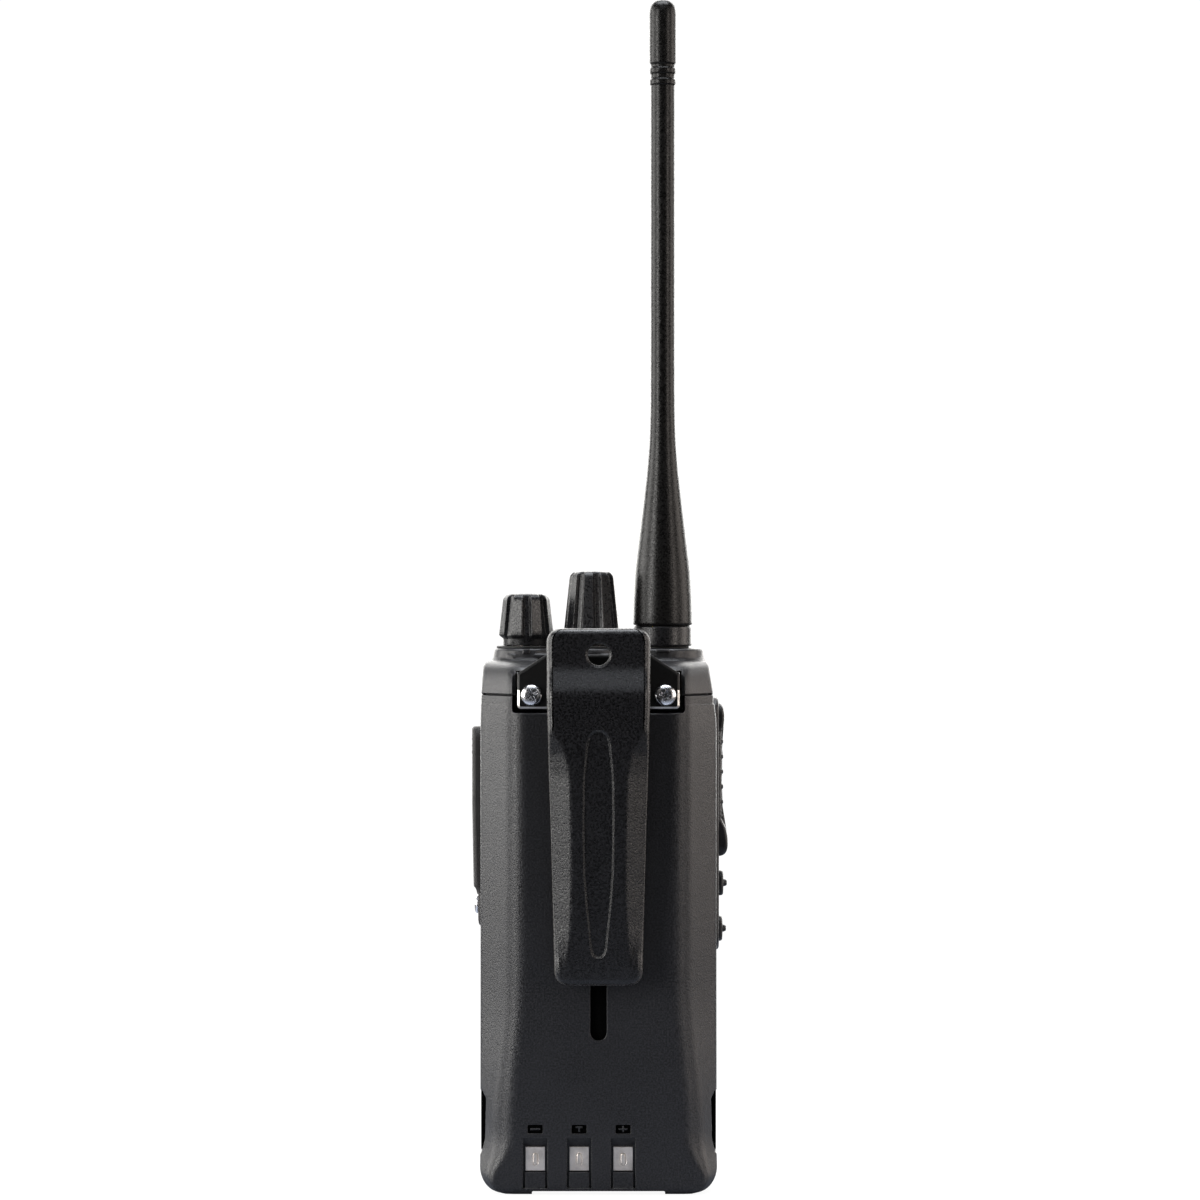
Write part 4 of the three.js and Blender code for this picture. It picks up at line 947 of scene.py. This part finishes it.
def make_pin():
    low, high = corners_of("clip_pin")
    radius = (high[1] - low[1]) / 2
    pin = drum("X", PIN[1:], radius, low[0], high[0], 0.25, 32)
    piece(pin, "clip_pivot_pin", "root", "spring_steel", "clip_pin")


def tube(path, radius, sides=12):
    """A round wire along a path, as rings that don't twist."""
    path = np.array(path)
    directions = np.gradient(path, axis=0)
    directions /= np.linalg.norm(directions, axis=1, keepdims=True)
    across = unit(np.cross(directions[0], (0.3, 0.5, 0.81)))
    rings = []
    for point, direction in zip(path, directions):
        across = unit(across - direction * (across @ direction))
        other = np.cross(direction, across)
        angles = np.linspace(0, 2 * math.pi, sides, endpoint=False)
        rings.append(point + radius * (np.outer(np.cos(angles), across) + np.outer(np.sin(angles), other)))
    return solid(rings)


def bending(spring, name, node):
    """Names a spring, gives it its finish, and hides the CAD node that it stands for."""
    spring.name = spring.data.name = name
    spring.data.materials.append(FINISHES["spring_steel"])
    spring.data.shade_smooth()
    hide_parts(node)
    return spring


def make_clip_spring():
    """A torsion spring round the pin: one leg on the bracket, the other under the thumb end."""
    first, last = 0.5, 6.125
    turns = np.linspace(first, last, 260)
    share = (turns - first) / (last - first)
    angles = 2 * math.pi * turns
    coil = np.stack([6.6 * (share - 0.5), PIN[1] + 1.85 * np.cos(angles), PIN[2] + 1.85 * np.sin(angles)], 1)

    def leg(start, end):
        return [np.array(start) + (np.array(end) - start) * t for t in np.linspace(0, 1, 14)[:-1]]

    path = [*leg((-3.6, 16.4, 121.4), coil[0]), *coil, *leg((3.6, 18.7, 123.3), coil[-1])[::-1]]
    for _ in range(3):
        path = [path[0], *((a + 2 * b + c) / 4 for a, b, c in zip(path, path[1:], path[2:])), path[-1]]
    spring = bending(tube(path, 0.35), "clip_torsion_spring", "clip_spring")
    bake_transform(spring)


def cross_outline(reach, arm, centre, turn):
    """The outline of a driver's cross, from its reach and the half width of its arms."""
    a, b = reach, arm
    plus = [
        (a, -b), (a, b), (b, b), (b, a), (-b, a), (-b, b),
        (-a, b), (-a, -b), (-b, -b), (-b, -a), (b, -a), (b, -b),
    ]
    shape = rounded([(*corner, 0.15 * b) for corner in plus], 2)
    u, v = shape.T
    cosine, sine = math.cos(turn), math.sin(turn)
    return np.stack([u * cosine - v * sine, u * sine + v * cosine], 1) + centre


def screw(name, node, axis, centre, seat, head, shank, length, turn):
    """A pan-head screw with a cross recess. head is its radius, and its height along the axis."""
    radius, height = head
    facing = math.copysign(1, height)
    profile = [
        (0, seat - facing * length), (shank, seat - facing * length), (shank, seat), (radius, seat),
        (radius, seat + 0.45 * height), (0.84 * radius, seat + 0.8 * height),
        (0.5 * radius, seat + 0.97 * height), (0, seat + height),
    ]
    made = spun(softened(profile, 0.3), axis, centre, 72)
    recess = [  # reach and half width of the cross as shares of the radius, and place as a share of the height
        placed(cross_outline(reach * radius, arm * radius, centre, turn), axis, seat + rise * height)
        for reach, arm, rise in ((0.62, 0.17, 1.15), (0.56, 0.135, 0.93), (0.30, 0.09, 0.3))
    ]
    piece(cut(made, solid(recess)), name, "root", "screw_steel", node)


def make_screws():
    for side, turn in (("left", 0.35), ("right", 1.1)):
        node = f"clip_screw_{side}"
        seat = corners_of(node)[1][1] - 1.6
        screw(f"bracket_screw_{side}", node, "Y", centre_of(node)[[0, 2]], seat, (2.48, 1.58), 1.25, 7, turn)
    node = "jack_cover_screw"
    seat = corners_of(node)[1][0] - 0.9
    screw("cover_screw", node, "X", centre_of(node)[1:], seat, (2.08, 0.88), 1.1, 3.9, 0.6)


# ------------------------------------------------------------------ knobs and antenna
FLUTES = 8
FLUTE = 2 * math.pi / FLUTES
LOBE = 0.255 * FLUTE  # half the width of a lobe
WAIST = 5.45


def flute_angles():
    """Angles within one flute, closer together where its walls turn, and how deep the groove is at each."""
    wall_start, wall_end = LOBE, 0.37 * FLUTE
    blend = 0.035 * FLUTE
    half = np.concatenate([
        np.linspace(0, wall_start - blend, 5)[:-1],
        np.linspace(wall_start - blend, wall_start + blend, 7),
        np.linspace(wall_start + blend, wall_end - blend, 5)[1:-1],
        np.linspace(wall_end - blend, wall_end + blend, 7),
        np.linspace(wall_end + blend, FLUTE / 2, 4)[1:],
    ])
    fine = np.linspace(0, FLUTE / 2, 400)
    raw = np.clip((fine - wall_start) / (wall_end - wall_start), 0, 1)
    window = 14
    eased = np.convolve(np.pad(raw, window, "edge"), np.ones(window) / window, "same")[window:-window]
    depth = np.interp(half, fine, eased)
    angles = np.concatenate([-half[:0:-1], half[:-1]])
    depths = np.concatenate([depth[:0:-1], depth[:-1]])
    return angles, depths


def fluted(centre, radius, depth, phase):
    angles, depths = flute_angles()
    every = (np.arange(FLUTES)[:, None] * FLUTE + angles + phase).ravel()
    flat = math.cos(LOBE) / np.cos(np.minimum(np.abs(angles), LOBE))
    reach = radius * (1 + (np.tile(flat, FLUTES) - 1) * min(1, depth / 0.6)) - depth * np.tile(depths, FLUTES)
    return np.stack([centre[0] + reach * np.cos(every), centre[1] + reach * np.sin(every)], axis=1)


def make_knob(name, phase, radius, top_radius):
    low, high = corners_of(f"{name}_knob")
    centre = centre_of(f"{name}_control")[:2]
    bottom, top = low[2], high[2]
    levels = [  # height, reach and depth of the grooves
        (bottom, WAIST - 0.25, 0), (bottom + 0.1, WAIST - 0.05, 0), (bottom + 0.3, WAIST, 0),
        (bottom + 1.5, WAIST, 0), (bottom + 1.65, WAIST + 0.05, 0.05), (bottom + 2.2, radius - 0.22, 0.45),
        (bottom + 2.35, radius - 0.08, 0.58), (bottom + 2.55, radius, 0.66),
    ]
    for share in np.linspace(0, 1, 8)[1:]:
        height = bottom + 2.55 + share * (top - bottom - 4.15)
        levels.append((height, radius + share * (top_radius - radius), 0.8))
    crown = [  # depth below the top, how far in from the upper radius, and depth of the grooves
        (1.3, 0.08, 0.78), (1.0, 0.2, 0.7), (0.7, 0.4, 0.56), (0.42, 0.66, 0.36), (0.2, 0.98, 0.2),
        (0.07, 1.3, 0.1), (0, 1.7, 0.02), (0, 2.0, 0), (0.06, 2.15, 0), (0.25, 2.3, 0), (0.3, 2.6, 0),
    ]
    levels += [(top - down, top_radius - inward, depth) for down, inward, depth in crown]
    body_of_knob = solid([placed(fluted(centre, reach, depth, phase), "Z", z) for z, reach, depth in levels])
    bores = [bore("Z", centre, 5.0, 120, bottom + 1.7, 64), bore("Z", centre, 3.05, 120, top - 2.5)]
    piece(cut(body_of_knob, *bores), f"{name}_knob_cap", name, "knob_plastic", f"{name}_knob", angle=32)


def make_antenna():
    low, high = corners_of("antenna_whip")
    centre = centre_of("antenna_ring")[:2]
    foot, tip = low[2], high[2]
    shape = [
        (0, foot - 0.26), (6.3, foot - 0.26), (6.3, foot), (6.7, foot), (6.93, foot + 0.35), (6.93, foot + 1.2),
        (6.82, 135), (6.4, 142.2), (5.25, 151.4), (4.4, 158.4), (3.6, 165.4), (3.05, 172.4), (2.84, 179.4),
        (2.8, 190), (2.8, 254.3),
    ]
    for band in (254.6, 257.2):
        shape += [(2.8, band), (3.05, band + 0.3), (3.05, band + 1.3), (2.8, band + 1.6)]
    shape += [(2.8, 259.4), (3.12, 259.8), (3.12, tip - 2.9), (2.85, tip - 1.4), (1.9, tip - 0.4), (0, tip)]
    whip = spun(softened(shape, 1.6, 6), "Z", centre)
    whip = cut(whip, bore("Z", centre, 2.3, 128, 134), bore("Z", centre, 0.5, 128, 137, 16))
    piece(whip, "antenna_sleeve", "root", "antenna_rubber", "antenna_whip")
    low, high = corners_of("antenna_ring")
    foot = low[2] - 0.08
    collar = [(0, foot), (6.6, foot), (6.76, foot + 0.3), (6.76, high[2] - 0.25), (6.6, high[2]), (0, high[2])]
    ring = cut(spun(softened(collar, 0.3), "Z", centre), bore("Z", centre, 4.3, 120, 131, 48))
    piece(ring, "antenna_collar", "root", "knob_plastic", "antenna_ring")


def make_seal_rings():
    for name, outer, inner in (("volume", 6.9, 3.6), ("channel", 6.9, 3.6), ("antenna", 6.1, 4.7)):
        low, high = corners_of(f"{name}_seal_ring")
        centre = (low + high)[:2] / 2
        ring = cut(drum("Z", centre, outer, low[2], high[2], 0.2), bore("Z", centre, inner, 120, 126, 48))
        piece(ring, f"{name}_gasket", "root", "seal_rubber", f"{name}_seal_ring")


# ------------------------------------------------------------------ keys, covers and small parts
def nub(y, z, seat, reach, radius):
    back, front = seat + 0.6, seat - reach
    profile = [(0, back), (radius, back), (radius, seat), (radius * 0.7, front), (0, front)]
    return spun(softened(profile, 0.25), "X", (y, z), 20)


def make_ptt():
    """A long rubber key: a raised pad at each end, and a field of small nubs on the flat between."""
    low, high = corners_of("ptt_button")
    bottom, top, outer = low[2] + 1, high[2], low[0]
    flat, upper = outer + 1.5, outer + 0.8
    side_view = [(flat, bottom - 1), (flat, bottom)]
    side_view += curve((flat, bottom), (outer, bottom + 0.6), (outer, bottom + 3))
    side_view += curve((outer, bottom + 3), (outer, bottom + 6.6), (flat, bottom + 8.6))
    side_view += [(flat, top - 6.4), *curve((flat, top - 6.4), (upper, top - 5.4), (upper, top - 3.2))]
    side_view += curve((upper, top - 3.2), (upper + 0.1, top - 0.4), (flat + 0.6, top))
    side_view += [(flat + 0.6, top + 1)]
    across, up = np.array(side_view).T

    def face_at(y, z):
        return np.interp(z, up, across) + 0.35 * ((y - KEY_Y) / 3.9) ** 2 * 0.5

    outline = densified(rectangle(KEY_Y - 3.9, KEY_Y + 3.9, bottom, top, 2.6, 10), 0.7)
    key = heightfield_key(face_at, outline, 0.55, -25.2)
    nubs = [
        nub(KEY_Y + across, bottom + 9.2 + 3.5 * row, flat + 0.02, 0.38, 0.6)
        for across in (-2.1, 0, 2.1)
        for row in range(6)
    ]
    neck = box((-25.4, KEY_Y - 3, bottom + 1), (-24.6, KEY_Y + 3, top - 2), 0.3, "X")
    flange = shared(
        bar(rectangle(KEY_Y - 4.8, KEY_Y + 4.8, low[2], top - 0.2, 0.4), "X", -24.8, -23.9),
        body(HALF_WIDTH, 2, BODY_TOP - 2.2, WALL + 0.25),
    )
    piece(joined(key, neck, flange, *nubs), "push_to_talk_key", "ptt", "key_rubber", "ptt_button", angle=40)


def heightfield_key(face_at, outline, soft, foot):
    """A key whose rim rounds into a face, closed over its middle by rings that shrink to the centre line."""
    z_low, z_high = outline[:, 1].min(), outline[:, 1].max()
    half = (outline[:, 0].max() - outline[:, 0].min()) / 2
    middle = (outline[:, 0].max() + outline[:, 0].min()) / 2
    rings = [np.column_stack([np.full(len(outline), foot), outline])]
    edge = outline
    for angle in np.linspace(0, math.pi / 2, 7):
        edge = grown(outline, -soft * (1 - math.cos(angle)))
        rings.append(np.column_stack([face_at(edge[:, 0], edge[:, 1]) + soft * (1 - math.sin(angle)), edge]))
    for share in (0.8, 0.6, 0.4, 0.2, 0.05):
        limit = (1 - share) * (half - soft)
        inner = np.column_stack([
            middle + (edge[:, 0] - middle) * share,
            np.clip(edge[:, 1], z_low + soft + limit, z_high - soft - limit),
        ])
        rings.append(np.column_stack([face_at(inner[:, 0], inner[:, 1]), inner]))
    return solid(rings)


def make_side_keys():
    for place in ("upper", "lower"):
        low, high = corners_of(f"side_key_{place}")
        z, outer = (low[2] + high[2]) / 2, low[0] + 0.8

        def face_at(y, height, z=z, outer=outer):
            return outer + 0.25 * ((y - KEY_Y) ** 2 / 6.25 + (height - z) ** 2 / 8.4) * 0.6

        outline = densified(rectangle(KEY_Y - 2.5, KEY_Y + 2.5, z - 2.9, z + 2.9, 1.8, 10), 0.6)
        key = heightfield_key(face_at, outline, 0.5, -24.6)
        flange = bar(rectangle(KEY_Y - 3.3, KEY_Y + 3.3, z - 3.6, z + 3.6, 0.6), "X", -24.8, -24.0)
        piece(
            joined(key, flange, nub(KEY_Y, z, outer + 0.05, 0.82, 0.9)),
            f"side_key_{place}_cap", f"key_{place}", "key_rubber", f"side_key_{place}", angle=40,
        )


COVER_STEP = 68.2


def make_jack_cover():
    """A rubber flap over the accessory sockets, held at its foot by a screw."""
    low, high = corners_of("jack_cover")
    y, half = (low[1] + high[1]) / 2, (high[1] - low[1]) / 2
    inner, foot, outer = HALF_WIDTH + 0.15, HALF_WIDTH + 0.9, high[0]
    bottom, top = low[2], high[2]
    heights = np.array([bottom, bottom + 1.5, COVER_STEP - 0.6, COVER_STEP + 0.6, 88, top])
    reach = np.array([foot - 0.3, foot, foot, outer - 0.35, outer, outer])

    def face_at(across, z):
        return -(np.interp(z, heights, reach) - 0.4 * ((across - y) / half) ** 2)

    outline = densified(rectangle(y - half, y + half, bottom, top, 3, 10), 0.8)
    flap = heightfield_key(face_at, outline, 0.7, -inner)
    for vertex in flap.data.vertices:
        vertex.co.x *= -1
    flap.data.flip_normals()
    socket = corners_of("jack_block")
    screw_z = centre_of("jack_cover_screw")[2]
    plug = bar(rectangle(y - 2.7, y + 2.7, socket[0][2] - 0.7, socket[1][2] + 0.7, 1.7), "X", 25, inner + 0.2)
    ribs = []
    for i in range(3):
        rib = rectangle(y - 2.6, y + 2.6, top - 3.2 - 1.5 * i, top - 2.6 - 1.5 * i, 0.28)
        ribs.append(bar(rib, "X", outer - 1, outer - 0.02, (0, 0.15)))
    flap = cut(
        joined(flap, plug, *ribs),
        bore("X", (y, screw_z), 1.4, 20, 40, 24),
        spun([(2.35, foot - 0.1), (2.35, foot + 0.05), (2.6, foot + 0.35), (2.6, 40)], "X", (y, screw_z), 48),
    )
    piece(flap, "accessory_cover", "root", "cover_rubber", "jack_cover", angle=40)


def make_lens():
    low, high = corners_of("status_lens")
    centre = (low + high)[:2] / 2
    flange_top = 117.4
    profile = [
        (0, low[2]), (1.68, low[2]), (1.68, flange_top), (1.2, flange_top), (1.2, high[2] - 0.3),
        (0.8, high[2] - 0.05), (0, high[2]),
    ]
    piece(spun(softened(profile, 0.2), "Z", centre, 48), "status_light", "root", "lens_plastic", "status_lens")


def make_latch():
    """A sliding catch under the base, with a ribbed finger pad."""
    plate = bar(rectangle(-8.5, 8.5, -10.5, -1, 1), "Z", 2.42, 4, (0.15, 0.15))
    tongue = box((-4, -2, 2.42), (4, 1.88, 4), 0.4, "Z")
    pad = bar(rectangle(-5.6, 5.6, -7.6, -3.4, 0.8), "Z", 0.32, 2.6, (0.4, 0))
    grooves = [box((-4.4, -6.9 + 1.1 * i, 0), (4.4, -6.5 + 1.1 * i, 0.7), 0.15, "X") for i in range(3)]
    catch = cut(joined(plate, tongue, pad), *grooves)
    dark = FINISHES["component_plastic"]
    piece(catch, "battery_catch", "latch", "case_plastic", "battery_latch", material=dark)


def make_latch_springs():
    """Two small coils behind the catch, which in the radio shorten as it is pulled; here they keep one length
    and are not tied to the catch.
    """
    wire = 0.14
    turns = np.linspace(0, 6, 200)
    for side in ("left", "right"):
        low, high = corners_of(f"latch_spring_{side}")
        x, z = (low[0] + high[0]) / 2, (low[2] + high[2]) / 2
        reach = (high[2] - low[2]) / 2 - wire
        along = np.interp(turns, (0, 6), (low[1] + wire, high[1] - wire))
        angles = 2 * math.pi * turns
        spring = tube(np.stack([x + reach * np.cos(angles), along, z + reach * np.sin(angles)], 1), wire, 10)
        bending(spring, f"catch_spring_{side}", f"latch_spring_{side}")
        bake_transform(spring)


def make_microphone():
    """A plated capsule with dark felt over its face."""
    low, high = corners_of("microphone")
    radius = (high[0] - low[0]) / 2
    can = drum("Y", centre_of("microphone")[[0, 2]], radius, low[1], high[1], 0.2, 48)

    def is_felt(place, normal):
        return place.y < low[1] + 0.01

    painted(can, FINISHES["contact_nickel"], FINISHES["speaker_cloth"], is_felt)
    piece(can, "microphone_capsule", "root", "contact_nickel", "microphone")


def make_speaker_cloth():
    low, high = corners_of("speaker_cloth")
    cloth = drum("Y", SPEAKER[[0, 2]], (high[0] - low[0]) / 2, low[1], high[1], 0.1, 72)
    piece(cloth, "grille_cloth", "root", "speaker_cloth", "speaker_cloth")


def repaint_hidden_parts():
    """Finishes for the CAD nodes that stay: the chassis, the boards and everything else inside."""
    for entry in frame["record"]["subparts"]:
        node = frame["nodes"][entry["node"]]
        for place in node.material_slots:
            place.link = "OBJECT"
            place.material = FINISHES[entry["material_slot"]]


# ------------------------------------------------------------------ the setting, in metres
FLOOR_GLOW = 1.04
FLOOR_NEAR_GLOW = 0.9  # how much of the floor's brightness near the radio is glow
FLOOR_BOUNCE = (0.3, 0.33, 0.39)
BACKDROP_GLOW, FILL_GLOW = 1.05, 0.03
CAMERA_PLACE = (-0.00034, 0.916, 0.143)
CAMERA_AIM = (-0.00034, 0.016, 0.13535)
CAMERA_LENS = 118.9
WHITE, PINK = (1.0, 0.985, 0.96), (1.0, 0.92, 0.86)
LIGHTS = [  # name, place, target, width, height, power and colour
    ("key", (0.74, -0.07, 0.18), (0, 0.01, 0.12), 0.5, 0.75, 7.9, WHITE),
    ("key_front", (0.57, 0.47, 0.20), (0, 0.01, 0.12), 0.24, 0.6, 5.8, WHITE),
    ("rim", (-0.74, -0.07, 0.18), (0, 0.01, 0.12), 0.45, 0.75, 4.4, PINK),
    ("rim_front", (-0.57, 0.47, 0.20), (0, 0.01, 0.12), 0.2, 0.6, 2.3, PINK),
    ("top", (0.0, 0.02, 0.85), (0, 0, 0.1), 0.7, 0.45, 9.0, (0.93, 0.96, 1.0)),
    ("crest", (0.0, 0.62, 0.74), (0, 0.02, 0.12), 0.5, 0.22, 0.85, (0.9, 0.94, 1.0)),
    ("behind", (0.0, -0.95, 0.45), (0, 0, 0.15), 2.0, 1.2, 34.0, (1.0, 0.99, 0.97)),
]


def aimed(thing, place, target):
    """Puts a light or the camera at a place, turned to its target."""
    thing.location = place
    thing.rotation_euler = (Vector(target) - Vector(place)).to_track_quat("-Z", "Y").to_euler()


def make_floor():
    """A pale disc. Its far part glows as brightly as the backdrop, so that no horizon shows."""
    disc = solid([placed(circle(0, 0, 1600, 128), "Z", z) for z in (-0.05, -5)], "floor")
    n = Nodes("floor_white")
    distance = n.add("ShaderNodeVectorMath", operation="LENGTH")
    n.link(n.place, distance.inputs[0])
    seen = n.add("ShaderNodeLightPath").outputs["Is Camera Ray"]
    share = n.math("MULTIPLY", seen, n.ramp(distance.outputs["Value"], FLOOR_NEAR_GLOW, 1.0, 0.05, 0.25))
    paper = n.ramp(n.noise(90, 4), (0.82, 0.82, 0.83), (0.86, 0.86, 0.86))
    bounce = n.ramp(distance.outputs["Value"], FLOOR_BOUNCE, (0.03, 0.03, 0.03), 0.06, 0.3)
    n.finish(n.blended(seen, bounce, paper), n.ramp(n.noise(400, 3), 0.7, 0.85))
    glow = n.add("ShaderNodeEmission")
    glow.inputs["Strength"].default_value = FLOOR_GLOW
    mix = n.add("ShaderNodeMixShader")
    n.link(share, mix.inputs["Fac"])
    n.link(n.shader.outputs["BSDF"], mix.inputs[1])
    n.link(glow.outputs["Emission"], mix.inputs[2])
    n.link(mix.outputs["Shader"], n.tree.nodes["Material Output"].inputs["Surface"])
    disc.data.materials.append(n.material)
    disc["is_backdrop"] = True


def light(name, place, target, width, height, power, colour):
    data = bpy.data.lights.new(name, "AREA")
    data.shape = "RECTANGLE"
    data.size, data.size_y = width, height
    data.energy = power
    data.color = colour
    lamp = added(name, data)
    lamp.visible_camera = False
    aimed(lamp, place, target)


def light_the_scene():
    world = bpy.data.worlds.new("studio")
    bpy.context.scene.world = world
    world.use_nodes = True
    tree = world.node_tree
    seen = tree.nodes.new("ShaderNodeLightPath")
    backdrop = tree.nodes.new("ShaderNodeBackground")
    backdrop.inputs["Color"].default_value = (1, 1, 1, 1)
    backdrop.inputs["Strength"].default_value = BACKDROP_GLOW
    fill = tree.nodes["Background"]
    fill.inputs["Color"].default_value = (0.9, 0.94, 1, 1)
    fill.inputs["Strength"].default_value = FILL_GLOW
    mix = tree.nodes.new("ShaderNodeMixShader")
    tree.links.new(seen.outputs["Is Camera Ray"], mix.inputs["Fac"])
    tree.links.new(fill.outputs["Background"], mix.inputs[1])
    tree.links.new(backdrop.outputs["Background"], mix.inputs[2])
    tree.links.new(mix.outputs["Shader"], tree.nodes["World Output"].inputs["Surface"])
    for entry in LIGHTS:
        light(*entry)


def place_camera():
    data = bpy.data.cameras.new("photo_camera")
    data.sensor_width = 36
    data.lens = CAMERA_LENS
    data.clip_start, data.clip_end = 0.05, 20
    camera = added("photo_camera", data)
    aimed(camera, CAMERA_PLACE, CAMERA_AIM)
    bpy.context.scene.camera = camera


# ------------------------------------------------------------------ building
make_front_case()
make_battery_pack()
make_charge_contacts()
make_paddle()
make_bracket()
make_pin()
make_clip_spring()
make_screws()
make_knob("volume", 1.22, 6.45, 5.55)
make_knob("channel", 1.41, 6.65, 5.25)
make_antenna()
make_seal_rings()
make_ptt()
make_side_keys()
make_jack_cover()
make_lens()
make_latch()
make_latch_springs()
make_microphone()
make_speaker_cloth()
repaint_hidden_parts()
make_floor()
light_the_scene()
place_camera()
bpy.context.scene.view_settings.view_transform = "Standard"
bpy.context.scene.view_settings.look = "None"
bpy.context.scene.view_settings.gamma = 0.85

sizes = {"cad": cad_bounds, "looks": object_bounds()}
{key: [[float(v) for v in corner] for corner in value] for key, value in sizes.items()}
